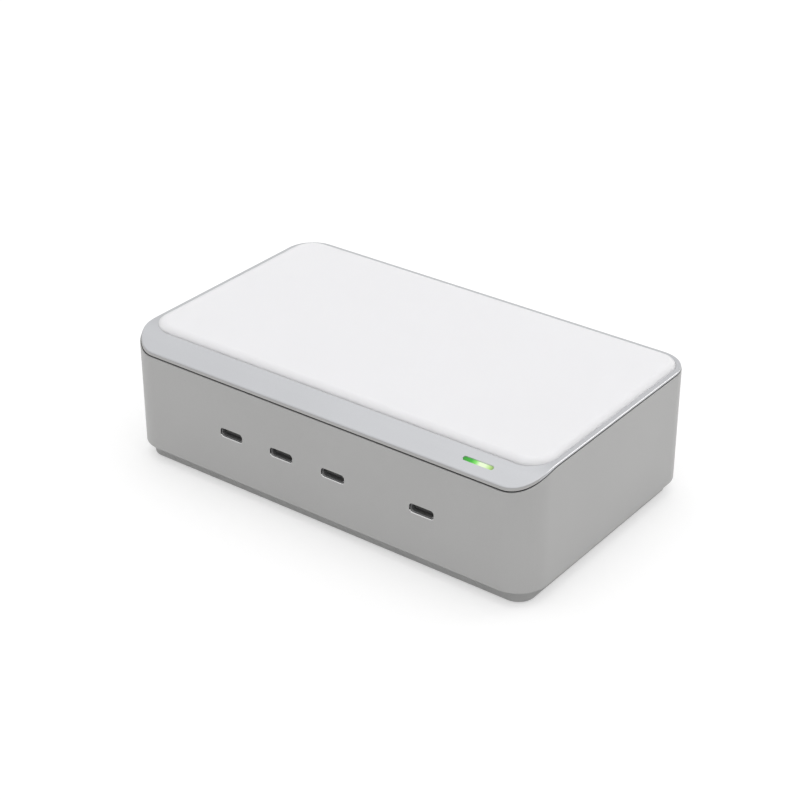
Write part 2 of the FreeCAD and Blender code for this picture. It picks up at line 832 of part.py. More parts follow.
def add_board_supports(body):
    """Rests under the ends of both boards, and a snap hook at each end of each board."""
    rest_x = "board_side - rest_width / 2"
    rests = {
        "main": ("board_end - rest_from_end", "main_front + rest_from_end"),
        "port": ("port_back - rest_depth / 2", "rest_from_end - board_end"),
    }
    hooks = {
        "main": "board_end - rest_from_end - rest_depth - hook_from_back",
        "port": "port_back - rest_depth - hook_width / 2",
    }
    inner = "board_side - hook_catch"
    edge = "board_side + hook_gap"
    outer = "board_side + hook_gap + hook_leg"
    for board, rows in rests.items():
        low, high = f"{board}_bottom", f"{board}_top + hook_gap"
        spots = [(f"{side}({rest_x})", row) for side in ("", "-") for row in rows]
        rectangles_pad(body, f"{board}_rests", "rest_width", "rest_depth", spots,
                       "floor_top", f"{low} - floor_top")
        for name, side in (("right", ""), ("left", "-")):
            profile = sketch_on(body, f"{board}_{name}_hook", "XZ_Plane", f"-({hooks[board]})")
            add_polygon(profile, [
                (f"{side}({edge})", "floor_top"),
                (f"{side}({outer})", "floor_top"),
                (f"{side}({outer})", f"{high} + hook_rise"),
                (f"{side}({inner})", high),
                (f"{side}({edge})", high),
            ])
            pad(body, profile, "hook_width", symmetric=True)


def make_screws(label, spots, size, seat):
    """Screws in one group: a cylinder head below the seat and a plain shank above it."""
    body = new_body(label)
    circles_pad(body, label + "_heads", f"{size}_head_radius", spots,
                f"{seat} - {size}_head_height", f"{size}_head_height")
    circles_pad(body, label + "_shanks", f"{size}_radius", spots, seat, f"{size}_length")
    keep(body, label)


# Boards and sockets

def make_boards():
    keep(block("main_board", "2 * board_side", "main_depth", "board_thickness",
               "0", "main_middle", "main_bottom"), "main_board")
    keep(block("port_board", "2 * board_side", "port_depth", "board_thickness",
               "0", "port_middle", "port_bottom"), "port_board")


def make_bars():
    """Two bent strips that carry the supply from the main board up to the port board."""
    body = new_body("dc_link_bars")
    riser = "main_front + bar_gap"
    for count, middle in enumerate(("middle_2_3", "middle_3_4"), start=1):
        sketch = sketch_on(body, f"bar_{count}_profile", "YZ_Plane", middle)
        add_polygon(sketch, [
            (f"{riser} + bar_foot", "main_top"),
            (f"{riser} + bar_foot", "main_top + bar_thickness"),
            (f"{riser} + bar_thickness", "main_top + bar_thickness"),
            (f"{riser} + bar_thickness", "port_top + bar_thickness"),
            ("port_back - bar_arm", "port_top + bar_thickness"),
            ("port_back - bar_arm", "port_top"),
            (riser, "port_top"),
            (riser, "main_top"),
        ])
        pad(body, sketch, "bar_width", symmetric=True)
    keep(body, "dc_link_bars")


def make_socket(number, port):
    """A USB-C receptacle: a drawn steel shell round a block with a contact tongue."""
    shell = new_body(f"usb_shell_{number}")
    front = "half_depth - shell_setback"
    outline = sketch_on(shell, f"shell_{number}_outline", "XZ_Plane", front)
    add_stadium(outline, "shell_width", "shell_height", port, "port_height")
    add_stadium(outline, "socket_width", "socket_height", port, "port_height")
    pad(shell, outline, "shell_length", reverse=True)
    keep(shell, f"usb_shell_{number}")

    tongue = new_body(f"usb_tongue_{number}")
    base_start = f"{front} - tongue_setback - tongue_length"
    base = sketch_on(tongue, f"tongue_{number}_base", "XZ_Plane", base_start)
    add_stadium(base, "socket_width - 2 * tongue_gap", "socket_height - 2 * tongue_gap",
                port, "port_height")
    pad(tongue, base, "shell_length - tongue_setback - tongue_length", reverse=True)
    blade = sketch_on(tongue, f"tongue_{number}_blade", "XZ_Plane", base_start)
    add_rectangle(blade, "tongue_width", "tongue_thickness", port, "port_height")
    pad(tongue, blade, "tongue_length")
    keep(tongue, f"usb_tongue_{number}")


def make_inlet():
    """Three-pin mains inlet: a moulded well with two bevelled corners and three blades."""
    body = new_body("inlet_body")
    outline = sketch_on(body, "inlet_outline", "XZ_Plane", "-inlet_face")
    add_rounded_rectangle(outline, "inlet_width", "inlet_height", "inlet_corner",
                          "inlet_x", "inlet_z")
    pad(body, outline, "inlet_length")
    well = sketch_on(body, "inlet_well", "XZ_Plane", "-inlet_face")
    right, left = "inlet_x + cavity_width / 2", "inlet_x - cavity_width / 2"
    top, low = "inlet_z + cavity_height / 2", "inlet_z - cavity_height / 2"
    add_polygon(well, [
        (left, low),
        (right, low),
        (right, f"{top} - cavity_bevel"),
        (f"{right} - cavity_bevel", top),
        (f"{left} + cavity_bevel", top),
        (left, f"{top} - cavity_bevel"),
    ])
    pocket(body, well, "cavity_depth", reverse=True)

    pins = {
        "inlet_pin_line": ("inlet_x - pin_spread", "inlet_z - pin_drop"),
        "inlet_pin_neutral": ("inlet_x + pin_spread", "inlet_z - pin_drop"),
        "inlet_pin_earth": ("inlet_x", "inlet_z + earth_rise"),
    }
    slots = sketch_on(body, "inlet_pin_slots", "XZ_Plane", "-inlet_face")
    for x, z in pins.values():
        add_rectangle(slots, "pin_width + 2 * pin_gap", "pin_height + 2 * pin_gap", x, z)
    pocket(body, slots, "2 * inlet_length", reverse=True)
    keep(body, "inlet_body")

    tip = value("pin_front")
    for label, (x, z) in pins.items():
        pin = new_body(label)
        blade = sketch_on(pin, label + "_outline", "XZ_Plane", "-pin_front")
        add_rectangle(blade, "pin_width", "pin_height", x, z)
        pad(pin, blade, "pin_length")
        break_edges(pin, "pin_tip", lambda edge: all(
            abs(spot.y - tip) < TOLERANCE for spot in spots_on(edge)))
        keep(pin, label)


# Mains side of the main board

def make_mains_parts():
    keep(block("fuse", "fuse_width", "fuse_length", "fuse_height",
               "board_side - fuse_from_right", "board_end - fuse_from_back", "main_top"), "fuse")
    keep(block("suppression_capacitor", "film_width", "film_depth", "film_height",
               "board_side - film_from_right", "film_y", "main_top"), "suppression_capacitor")

    varistor = new_body("varistor")
    face = sketch_on(varistor, "varistor_face", "XZ_Plane")
    add_circle(face, "varistor_radius", "0", "varistor_radius")
    pad(varistor, face, "varistor_thickness", symmetric=True)
    place(varistor, "board_side - varistor_from_right", "board_end - varistor_from_back",
          "main_top")
    keep(varistor, "varistor")

    capacitors = new_body("line_capacitors")
    x = "board_side - line_capacitor_from_right"
    pair = [(x, "line_capacitor_y"), (x, "line_capacitor_y - line_capacitor_step")]
    rectangles_pad(capacitors, "line_capacitor_outlines", "line_capacitor_width",
                   "line_capacitor_length", pair, "main_top", "line_capacitor_height")
    keep(capacitors, "line_capacitors")


def make_choke():
    """A common-mode choke: an upright ferrite frame with a winding on each of its two legs."""
    core = new_body("choke_core")
    frame = sketch_on(core, "choke_frame", "XZ_Plane")
    window_width = "choke_width - 2 * choke_leg"
    window_height = "choke_height - 2 * choke_leg"
    add_rectangle(frame, "choke_width", "choke_height", "0", "choke_height / 2")
    add_rectangle(frame, window_width, window_height, "0", "choke_height / 2")
    pad(core, frame, "choke_depth", symmetric=True)
    place(core, "choke_x", "choke_y", "main_top")
    keep(core, "choke_core")

    windings = new_body("choke_windings")
    turns = sketch_on(windings, "choke_turns", offset="choke_leg + choke_gap")
    for side in ("", "-"):
        leg = f"{side}(choke_width - choke_leg) / 2"
        for grow in ("choke_gap", "(choke_gap + choke_wire)"):
            add_rectangle(turns, f"choke_leg + 2 * {grow}", f"choke_depth + 2 * {grow}", leg)
    pad(windings, turns, f"{window_height} - 2 * choke_gap")
    place(windings, "choke_x", "choke_y", "main_top")
    keep(windings, "choke_windings")


def make_rectifier():
    """A bridge rectifier clamped to an upright finned heat sink."""
    sink = new_body("rectifier_heat_sink")
    plate = sketch_on(sink, "sink_plate_outline")
    add_polygon(plate, [
        ("0", "0"),
        ("sink_plate", "0"),
        ("sink_plate", "sink_length"),
        ("0", "sink_length"),
    ])
    pad(sink, plate, "sink_height")
    fin = sketch_on(sink, "sink_fin_outline")
    add_polygon(fin, [
        ("-sink_fin_reach", "0"),
        ("0", "0"),
        ("0", "sink_fin"),
        ("-sink_fin_reach", "sink_fin"),
    ])
    first = pad(sink, fin, "sink_height")
    row = sink.newObject("PartDesign::LinearPattern", "sink_fin_row")
    row.Originals = [first]
    row.Direction = (fin, ["V_Axis"])
    link(row, "Length", "sink_length - sink_fin")
    link(row, "Occurrences", "sink_fins")
    sink.Tip = row
    place(sink, "sink_x - sink_plate", "sink_y", "main_top")
    keep(sink, "rectifier_heat_sink")
    keep(block("bridge_rectifier", "bridge_thickness", "bridge_length", "bridge_height",
               "sink_x + bridge_thickness / 2", "sink_y + sink_length / 2", "main_top"),
         "bridge_rectifier")


# Power side of the main board

def make_wound_part(name):
    """A ferrite core with two windows, a bobbin on its middle leg and the winding on that."""
    x = f"{name}_from_left - board_side"
    y = f"main_front + {name}_from_front"
    post, depth, middle = f"{name}_post", f"{name}_depth", f"{name}_height / 2"
    window_height = f"{name}_height - 2 * {name}_plate"
    window_width = f"({name}_width / 2 - core_side - {post} / 2)"
    core = new_body(f"{name}_core")
    face = sketch_on(core, f"{name}_core_face", "XZ_Plane")
    add_rectangle(face, f"{name}_width", f"{name}_height", "0", middle)
    for side in ("", "-"):
        add_rectangle(face, window_width, window_height,
                      f"{side}({post} + {window_width}) / 2", middle)
    pad(core, face, depth, symmetric=True)
    place(core, x, y, "main_top")
    keep(core, f"{name}_core")

    low = f"{name}_plate + bobbin_gap"
    bobbin_height = f"({window_height} - 2 * bobbin_gap)"
    flange_grow = f"({window_width} - core_gap)"
    drum_grow = "(bobbin_gap + bobbin_wall)"

    def add_ring(sketch, outer, inner):
        """A square ring about the middle leg, between two distances from its sides."""
        for grow in (outer, inner):
            add_rectangle(sketch, f"{post} + 2 * {grow}", f"{depth} + 2 * {grow}")

    bobbin = new_body(f"{name}_bobbin")
    drum = sketch_on(bobbin, f"{name}_drum", offset=low)
    add_ring(drum, drum_grow, "bobbin_gap")
    pad(bobbin, drum, bobbin_height)
    for end, bottom in (("low", low), ("high", f"{low} + {bobbin_height} - bobbin_wall")):
        flange = sketch_on(bobbin, f"{name}_{end}_flange", offset=bottom)
        add_ring(flange, flange_grow, "bobbin_gap")
        pad(bobbin, flange, "bobbin_wall")
    place(bobbin, x, y, "main_top")
    keep(bobbin, f"{name}_bobbin")

    winding = new_body(f"{name}_winding")
    turns = sketch_on(winding, f"{name}_turns", offset=f"{low} + bobbin_wall + bobbin_gap")
    add_ring(turns, f"({flange_grow} - core_gap)", f"({drum_grow} + bobbin_gap)")
    pad(winding, turns, f"{bobbin_height} - 2 * bobbin_wall - 2 * bobbin_gap")
    place(winding, x, y, "main_top")
    keep(winding, f"{name}_winding")


def make_power_parts():
    cans = new_body("bulk_capacitors")
    row = [(f"bulk_x + {step} * bulk_pitch", "bulk_y") for step in range(3)]
    circles_pad(cans, "bulk_cans", "bulk_radius", row, "main_top", "bulk_height")
    keep(cans, "bulk_capacitors")

    make_wound_part("transformer")
    make_wound_part("boost")

    keep(block("power_card", "card_length", "card_thickness", "card_height",
               "card_x", "card_y", "main_top"), "power_card")
    switches = new_body("switch_transistors")
    face = sketch_on(switches, "switch_faces", "XZ_Plane", "card_thickness / 2 - card_y")
    for step in (-1, 0, 1):
        add_rectangle(face, "switch_size", "switch_size",
                      f"card_x + ({step}) * switch_pitch", "main_top + card_height / 2")
    pad(switches, face, "switch_thickness")
    keep(switches, "switch_transistors")

    keep(block("output_heat_sink", "output_sink_length", "output_sink_thickness",
               "output_sink_height", "output_sink_x", "output_sink_y", "main_top"),
         "output_heat_sink")
    rectifiers = new_body("output_rectifiers")
    rectifier_y = "output_sink_y - output_sink_thickness / 2 - rectifier_thickness / 2"
    pair = [(f"output_sink_x {side} rectifier_pitch / 2", rectifier_y) for side in ("-", "+")]
    rectangles_pad(rectifiers, "rectifier_outlines", "rectifier_width", "rectifier_thickness",
                   pair, "main_top", "rectifier_height")
    keep(rectifiers, "output_rectifiers")


# Port board

def make_port_row(label, width, depth, height, shift, y):
    """One like block for each socket, standing on the port board."""
    body = new_body(label)
    spots = [(f"{port} - {shift}", y) for port in PORTS]
    rectangles_pad(body, label + "_outlines", width, depth, spots, "port_top", height)
    keep(body, label)


def make_port_parts():
    make_port_row("port_controllers", "controller_size", "controller_size", "controller_height",
                  "0", "controller_y")
    make_port_row("buck_inductors", "inductor_size", "inductor_size", "inductor_height",
                  "0", "inductor_y")
    make_port_row("buck_transistors", "buck_switch_size", "buck_switch_size",
                  "buck_switch_height", "beside_port", "inductor_y")
    make_port_row("output_capacitors", "output_capacitor_width", "output_capacitor_depth",
                  "output_capacitor_height", "beside_port", "output_capacitor_y")


def check_all():
    """Stops before anything is written if a feature failed or a sub-part isn't sound."""
    doc.recompute()
    for item in doc.Objects:
        if "Invalid" in item.State or "Error" in item.State:
            raise RuntimeError(f"{item.Name} failed: {item.State}")
    for item in sub_parts:
        if item.Shape.isNull() or not item.Shape.isValid() or not item.Shape.Solids:
            raise RuntimeError(f"{item.Label} has no sound shape")


make_sleeve()
make_cap()
make_pad()
make_light()
make_cover()
make_screws("cover_screws", POSTS, "cover_screw", "screw_seat")
make_boards()
make_bars()
for number, port in enumerate(PORTS, start=1):
    make_socket(number, port)
make_inlet()
make_mains_parts()
make_choke()
make_rectifier()
make_power_parts()
make_port_parts()
check_all()

os.makedirs("parts", exist_ok=True)
for item in sub_parts:
    item.Shape.exportStep(f"parts/{item.Label}.step")
    print(f"{item.Label}: {len(item.Shape.Solids)} solid(s), {item.Shape.Volume:.1f} mm3")
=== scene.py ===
import math
from contextlib import contextmanager

import bmesh
import bpy
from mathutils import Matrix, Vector


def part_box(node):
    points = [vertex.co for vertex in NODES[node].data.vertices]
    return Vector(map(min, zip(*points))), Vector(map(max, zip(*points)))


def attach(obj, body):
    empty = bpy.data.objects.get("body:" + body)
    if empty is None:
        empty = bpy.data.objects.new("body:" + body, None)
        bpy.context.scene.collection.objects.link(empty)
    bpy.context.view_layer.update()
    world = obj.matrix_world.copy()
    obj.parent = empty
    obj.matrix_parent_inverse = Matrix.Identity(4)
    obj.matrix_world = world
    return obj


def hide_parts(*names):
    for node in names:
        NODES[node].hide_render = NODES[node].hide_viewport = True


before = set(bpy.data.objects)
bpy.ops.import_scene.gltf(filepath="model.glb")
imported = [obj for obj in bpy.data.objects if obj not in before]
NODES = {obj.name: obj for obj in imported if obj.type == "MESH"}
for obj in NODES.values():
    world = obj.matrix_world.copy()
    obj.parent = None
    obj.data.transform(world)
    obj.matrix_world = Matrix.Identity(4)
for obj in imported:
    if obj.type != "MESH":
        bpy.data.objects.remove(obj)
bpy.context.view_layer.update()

# Looks of the desktop charger: a satin metal body, a pale cap with a sloped front strip, a soft
# white pad, a lit window, four USB-C sockets, a mains inlet behind and a dark plinth on two strips.
# Metres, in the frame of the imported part: +X right along the front, -Y the front, +Z up.

MM = 0.001

# How close counts as the same place, and how squarely a face has to look along an axis
TINY = 1e-6
NEAR = 10 * TINY
ROW_DIGITS = 6
FACING = 0.9
ACROSS = 0.1
SMOOTH_ANGLE = math.radians(30)

# Body and cap
CORNER_RADIUS = 10.8 * MM
WALL = 2.4 * MM
REBATE = 1.2 * MM
REBATE_HEIGHT = 2.2 * MM
BODY_EDGE = 0.25 * MM
SLOPE = math.radians(28.5)
SLOPE_BLEND = 20.0 * MM
SEAM_SINK = 0.5 * MM
CAP_SINK = 0.45 * MM
SEAM_DROP = 5.27 * MM
SEAM_GAP = 0.4 * MM
SEAM_GAP_DEPTH = 0.8 * MM
# Painted shade: a near-black strip set into the seam's gap
SEAM_SHADE_INSET = 0.25 * MM
SEAM_SHADE_PLAY = 0.01 * MM
CAP_DROP = 4.8 * MM
CAP_EDGE = 0.45 * MM
CAP_EDGE_STEPS = 6
CAP_INSET = 0.2 * MM
CAP_LEFT_INSET = 0.3 * MM
CAP_PLUG_INSET = 1.75 * MM
CAP_PLUG_DEPTH = 5.0 * MM
CAP_OVERLAP = 0.1 * MM
CORNER_STEPS = 24
EDGE_STEPS = 3
ROOF_ROWS = 14

# Which faces of the cap's rim get a painted highlight and which get painted shade: how far up they
# look
RIM_UNDERSIDE = -0.1
SHADE_PAINT_TILT = 0.6
FAR_SHADE_PAINT_TILT = 0.97
HIGHLIGHT_PAINT_STEEP = 0.75
HIGHLIGHT_PAINT_FLAT = 0.95
RIGHT_LEAN = 2

# Pad
PAD_CORNER = 8.1 * MM
PAD_GROW = 0.4 * MM
PAD_SEAT = 0.9 * MM
PAD_GAP = 0.04 * MM
PAD_ROUND = 2.7 * MM
PAD_SQUASH = 0.7
PAD_ROUND_SHAPE = 0.4
PAD_ROUND_STEPS = 12
PAD_FAR_FALL = 0.5
PAD_LEFT_TRIM = 0.3 * MM
PAD_GLOW_DEPTH = 2.0 * MM

# USB-C sockets
PORT_GAP = 0.13 * MM
PORT_COVER_BELOW = Vector((0.08, 0, 0.05)) * MM
PORT_COVER_ABOVE = Vector((0.05, 0, 0.22)) * MM
PORT_CORNER = 0.95 * MM
PORT_LIP = 0.25 * MM
PORT_RIM = 0.2 * MM
PORT_FLARE = 0.5 * MM
PORT_LIP_TILT = 0.3
SHELL_WALL = 0.3 * MM
SHELL_LIP = 0.1 * MM
TONGUE_WIDTH = 6.69 * MM
TONGUE_THICKNESS = 0.7 * MM
TONGUE_LENGTH = 4.9 * MM
TONGUE_EDGE = 0.15 * MM
CONTACT_WIDTH = 0.25 * MM
CONTACT_LENGTH = 2.6 * MM
CONTACT_HEIGHT = 0.04 * MM
CONTACT_PITCH = 0.5 * MM
CONTACT_COUNT = 12
CONTACT_SETBACK = 1.2 * MM
SLOT_STEPS = 12

# Mains inlet
INLET_GAP = 0.2 * MM
INLET_CORNER = 1.5 * MM
INLET_RIM = 0.4 * MM
INLET_EDGE = 0.35 * MM
WELL_WIDTH = 24.4 * MM
WELL_HEIGHT = 16.4 * MM
WELL_DEPTH = 16.5 * MM
WELL_BEVEL = 4.5 * MM
WELL_CORNER = 0.6 * MM
WELL_EDGE = 0.3 * MM
PIN_GAP = 0.05 * MM
PIN_TIP = 0.6 * MM
PIN_TAPER = 0.4 * MM
PIN_EDGE = 0.5 * MM

# Light window
LIGHT_GAP = 0.05 * MM
LIGHT_SHIFT_LOW = Vector((0.2, 0.05, 0)) * MM
LIGHT_SHIFT_HIGH = Vector((0.6, -0.4, 0)) * MM
LIGHT_SUNK = 0.2 * MM
LIGHT_EDGE = 0.15 * MM
LIGHT_SLOT_DEPTH = 20 * MM
LIGHT_ROUGHNESS = 0.35
LIGHT_COLOURS = (
    (0.0, (0.02, 0.27, 0.012)),
    (0.28, (0.03, 0.42, 0.02)),
    (0.42, (0.20, 0.68, 0.12)),
    (0.55, (0.74, 0.90, 0.58)),
    (0.72, (0.74, 0.90, 0.58)),
    (0.88, (0.42, 0.66, 0.20)),
    (1.0, (0.16, 0.29, 0.08)),
)
LIGHT_UNLIT = 0.12

# Plinth, feet and screws
TRIM_INSET = 3.4 * MM
TRIM_WIDTH = 0.1 * MM
TRIM_CORNER = 5.8 * MM
TRIM_EDGE = 0.08 * MM
TRIM_GAP = 0.02 * MM
TRIM_LIFT = 0.5 * MM
FOOT_WIDTH = 9.0 * MM
FOOT_EDGE = 0.4 * MM
SCREW_HEAD_RADIUS = 2.75 * MM
SCREW_HEAD_HEIGHT = 2.0 * MM
SCREW_HEAD_EDGE = 0.45 * MM
SCREW_RADIUS = 1.5 * MM
SCREW_SOCKET_RADIUS = 1.45 * MM
SCREW_SOCKET_DEPTH = 1.3 * MM
SCREW_SOCKET_SIDES = 6
SCREW_SIDES = 40

# Grain that all finishes share
GRAIN_DETAIL = 3.0
CLOUD_DETAIL = 2.0
GRAIN_LOW = 0.5
GRAIN_HIGH = 1.5
GRAIN_DULLING = 0.05
GRAIN_HEIGHT = 0.1 * MM

# Studio
HORIZON_LIGHT = 0.45
ZENITH_LIGHT = 1.95
ZENITH_STEEPNESS = 4.0
SOFT_BOX_PLACE = Vector((0.5, 0.72, 0.54))
SOFT_BOX_SIZE = 0.4
SOFT_BOX_POWER = 0.8
FLOOR_SIZE = 8.0
FLOOR_DROP = 0.02 * MM
FLOOR_SHADE = (0.6, 0.6, 0.6)
FLOOR_WHITE = (0.58, 0.58, 0.58)
FLOOR_GLOW = 0.5
BACKDROP_RADIUS = 3.9
BACKDROP_HEIGHT = 1.0
BACKDROP_SIDES = 96
CAMERA_PLACE = (0.331567, -0.445123, 0.336061)
CAMERA_DIP = math.radians(29.176)
CAMERA_TURN = math.radians(36.881)
CAMERA_LENS = 86.737
CAMERA_SENSOR = 36

body_low, body_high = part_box("body_sleeve")
cap_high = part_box("top_cap")[1]
pad_low, pad_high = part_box("top_pad")
guide_low, guide_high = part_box("light_guide")
inlet_low, inlet_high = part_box("inlet_body")
foot_low, foot_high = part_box("rubber_feet")
screw_low, screw_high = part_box("cover_screws")
seam_height = body_high.z - SEAM_SINK
cap_height = cap_high.z - CAP_SINK
light_low = guide_low + LIGHT_SHIFT_LOW
light_high = guide_high + LIGHT_SHIFT_HIGH
PORT_NUMBERS = (1, 2, 3, 4)
PINS = ("line", "neutral", "earth")


# Modelling by hand

@contextmanager
def editing(piece, mode):
    """Edit mode on one piece, with vertices, edges or faces picked."""
    bpy.ops.object.select_all(action="DESELECT")
    piece.select_set(True)
    bpy.context.view_layer.objects.active = piece
    bpy.ops.object.mode_set(mode="EDIT")
    bpy.ops.mesh.select_mode(type=mode)
    bpy.ops.mesh.select_all(action="DESELECT")
    yield bmesh.from_edit_mesh(piece.data)
    bpy.ops.object.mode_set(mode="OBJECT")


def pick(piece, mode, test):
    """Selects the vertices, edges or faces that a test chooses, and says how many."""
    bpy.ops.mesh.select_all(action="DESELECT")
    mesh = bmesh.from_edit_mesh(piece.data)
    items = {"VERT": mesh.verts, "EDGE": mesh.edges, "FACE": mesh.faces}[mode]
    chosen = [item for item in items if test(item)]
    for item in chosen:
        item.select_set(True)
    bmesh.update_edit_mesh(piece.data)
    return len(chosen)


def block(name, low, high):
    bpy.ops.object.select_all(action="DESELECT")
    low, high = Vector(low), Vector(high)
    bpy.ops.mesh.primitive_cube_add(size=1, location=(low + high) / 2, scale=high - low)
    piece = bpy.context.object
    piece.name = piece.data.name = name
    bpy.ops.object.transform_apply(location=True, rotation=True, scale=True)
    return piece


def bevel_edges(piece, size, steps, test, shape=0.5):
    with editing(piece, "EDGE"):
        if not pick(piece, "EDGE", test):
            raise RuntimeError(f"{piece.name} has no edge to bevel")
        bpy.ops.mesh.bevel(offset=size, segments=steps, profile=shape, affect="EDGES",
                           clamp_overlap=False)
        bpy.ops.mesh.select_all(action="SELECT")
        bpy.ops.mesh.remove_doubles(threshold=TINY)


def at_height(edge, height):
    return all(abs(vertex.co.z - height) < TINY for vertex in edge.verts)


def runs_along(edge, axis):
    """Whether an edge lies along X (0), Y (1) or Z (2)."""
    run = (edge.verts[1].co - edge.verts[0].co).normalized()
    return abs(run[axis]) > 1 - TINY


def rounded_block(name, low, high, radius, steps=CORNER_STEPS, axis=2):
    """A block whose four edges along one axis are rounded."""
    piece = block(name, low, high)
    bevel_edges(piece, radius, steps, lambda edge: runs_along(edge, axis))
    return piece


def slot_block(name, low, high, axis):
    """A block with two fully round ends, seen along one axis."""
    spans = [high[side] - low[side] for side in range(3) if side != axis]
    return rounded_block(name, low, high, min(spans) / 2, SLOT_STEPS, axis)


def modify(piece, kind, **settings):
    """Adds a modifier, sets it up and applies it."""
    bpy.ops.object.select_all(action="DESELECT")
    piece.select_set(True)
    bpy.context.view_layer.objects.active = piece
    modifier = piece.modifiers.new(kind.lower(), kind)
    for name, setting in settings.items():
        setattr(modifier, name, setting)
    bpy.ops.object.modifier_apply(modifier=modifier.name)


def combine(piece, other, operation):
    """Cuts or joins with another piece, which is used up, and closes thin slivers."""
    modify(piece, "BOOLEAN", operation=operation, solver="EXACT", object=other)
    bpy.data.objects.remove(other)
    with editing(piece, "VERT"):
        bpy.ops.mesh.select_all(action="SELECT")
        bpy.ops.mesh.remove_doubles(threshold=TINY)
        bpy.ops.mesh.dissolve_degenerate(threshold=TINY)


def cut(piece, cutter):
    combine(piece, cutter, "DIFFERENCE")


def fuse(piece, other):
    combine(piece, other, "UNION")


def copy_to(piece, name, shift):
    """A copy with its own mesh, moved by a shift that goes into the mesh."""
    bpy.ops.object.select_all(action="DESELECT")
    piece.select_set(True)
    bpy.context.view_layer.objects.active = piece
    bpy.ops.object.duplicate_move(TRANSFORM_OT_translate={"value": shift})
    twin = bpy.context.object
    twin.name = twin.data.name = name
    bpy.ops.object.transform_apply(location=True, rotation=True, scale=True)
    return twin


def join(first, *others):
    bpy.ops.object.select_all(action="DESELECT")
    for piece in (first, *others):
        piece.select_set(True)
    bpy.context.view_layer.objects.active = first
    bpy.ops.object.join()
    return first


def smooth(piece):
    bpy.ops.object.select_all(action="DESELECT")
    piece.select_set(True)
    bpy.context.view_layer.objects.active = piece
    bpy.ops.object.shade_smooth_by_angle(angle=SMOOTH_ANGLE)
    modify(piece, "WEIGHTED_NORMAL", keep_sharp=True)


def finish_piece(piece, slot, material, *nodes):
    """Hands a finished piece to the frame: its finish, what carries it and what it stands for."""
    if not piece.data.materials:
        piece.data.materials.append(None)
    piece.data.materials[0] = material
    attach(piece, "root")
    if nodes:
        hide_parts(*nodes)
    return piece


# Slope-and-flat line of the seam, the cap and the pad's seat, seen from the side

def roof(y, side, drop):
    """Height at y: a slope that rises from the front and bends into a flat."""
    meet = body_low.y + drop / math.tan(SLOPE)
    bend = SLOPE_BLEND * math.tan(SLOPE / 2)
    start, end = meet - bend * math.cos(SLOPE), meet + bend
    if y >= end:
        return side
    if y <= start:
        return side - (meet - y) * math.tan(SLOPE)
    return side - SLOPE_BLEND + math.sqrt(SLOPE_BLEND ** 2 - (y - end) ** 2)


def roof_rows():
    """Where the bend of the slope needs rows of points, from front to back."""
    meet = body_low.y + SEAM_DROP / math.tan(SLOPE)
    bend = SLOPE_BLEND * math.tan(SLOPE / 2)
    start, end = meet - bend - MM, meet + bend
    return [start + (end - start) * row / ROOF_ROWS for row in range(ROOF_ROWS + 1)]


def score_rows(piece):
    """Cuts rows across a piece, so that it can follow the bend."""
    for row in roof_rows():
        with editing(piece, "EDGE"):
            bpy.ops.mesh.select_all(action="SELECT")
            bpy.ops.mesh.bisect(plane_co=(0, row, 0), plane_no=(0, 1, 0))


def row_of(vertex, axis):
    """A point's place along an axis, rounded so that the points of a row agree."""
    return round(vertex.co[axis], ROW_DIGITS)


def lower_front(piece, side, drop, lowest, highest):
    """Lowers the points between two heights by the slope's fall, row by row from the front."""
    heights = {vertex.index: vertex.co.z for vertex in piece.data.vertices}
    chosen = {index for index, z in heights.items() if lowest - TINY < z < highest + TINY}
    with editing(piece, "VERT") as mesh:
        rows = {row_of(vertex, 1) for vertex in mesh.verts if vertex.index in chosen}
        for row in sorted(rows):
            fall = roof(row, side, drop) - side
            if fall < 0:
                pick(piece, "VERT", lambda v: v.index in chosen and row_of(v, 1) == row)
                bpy.ops.transform.translate(value=(0, 0, fall))


def on_roof(edge, side, drop):
    return all(abs(v.co.z - roof(v.co.y, side, drop)) < NEAR for v in edge.verts)


def depth_in(spot):
    """How far a point lies inside the body's outer wall."""
    middle = (body_low + body_high) / 2
    half = (body_high - body_low) / 2
    over_x = abs(spot.x - middle.x) - (half.x - CORNER_RADIUS)
    over_y = abs(spot.y - middle.y) - (half.y - CORNER_RADIUS)
    if over_x > 0 and over_y > 0:
        return CORNER_RADIUS - math.hypot(over_x, over_y)
    return CORNER_RADIUS - max(over_x, over_y)


def turned_right(face):
    """Whether a face of the rim looks to the right, past the rounded corners."""
    return face.normal.x > RIGHT_LEAN * abs(face.normal.y)


def on_wall(edge):
    """Whether an edge lies on the body's outer wall, and isn't upright."""
    return not runs_along(edge, 2) and all(abs(depth_in(v.co)) < NEAR for v in edge.verts)


# Finishes

def new_material(name):
    material = bpy.data.materials.new(name)
    material.use_nodes = True
    return material, material.node_tree.nodes, material.node_tree.links


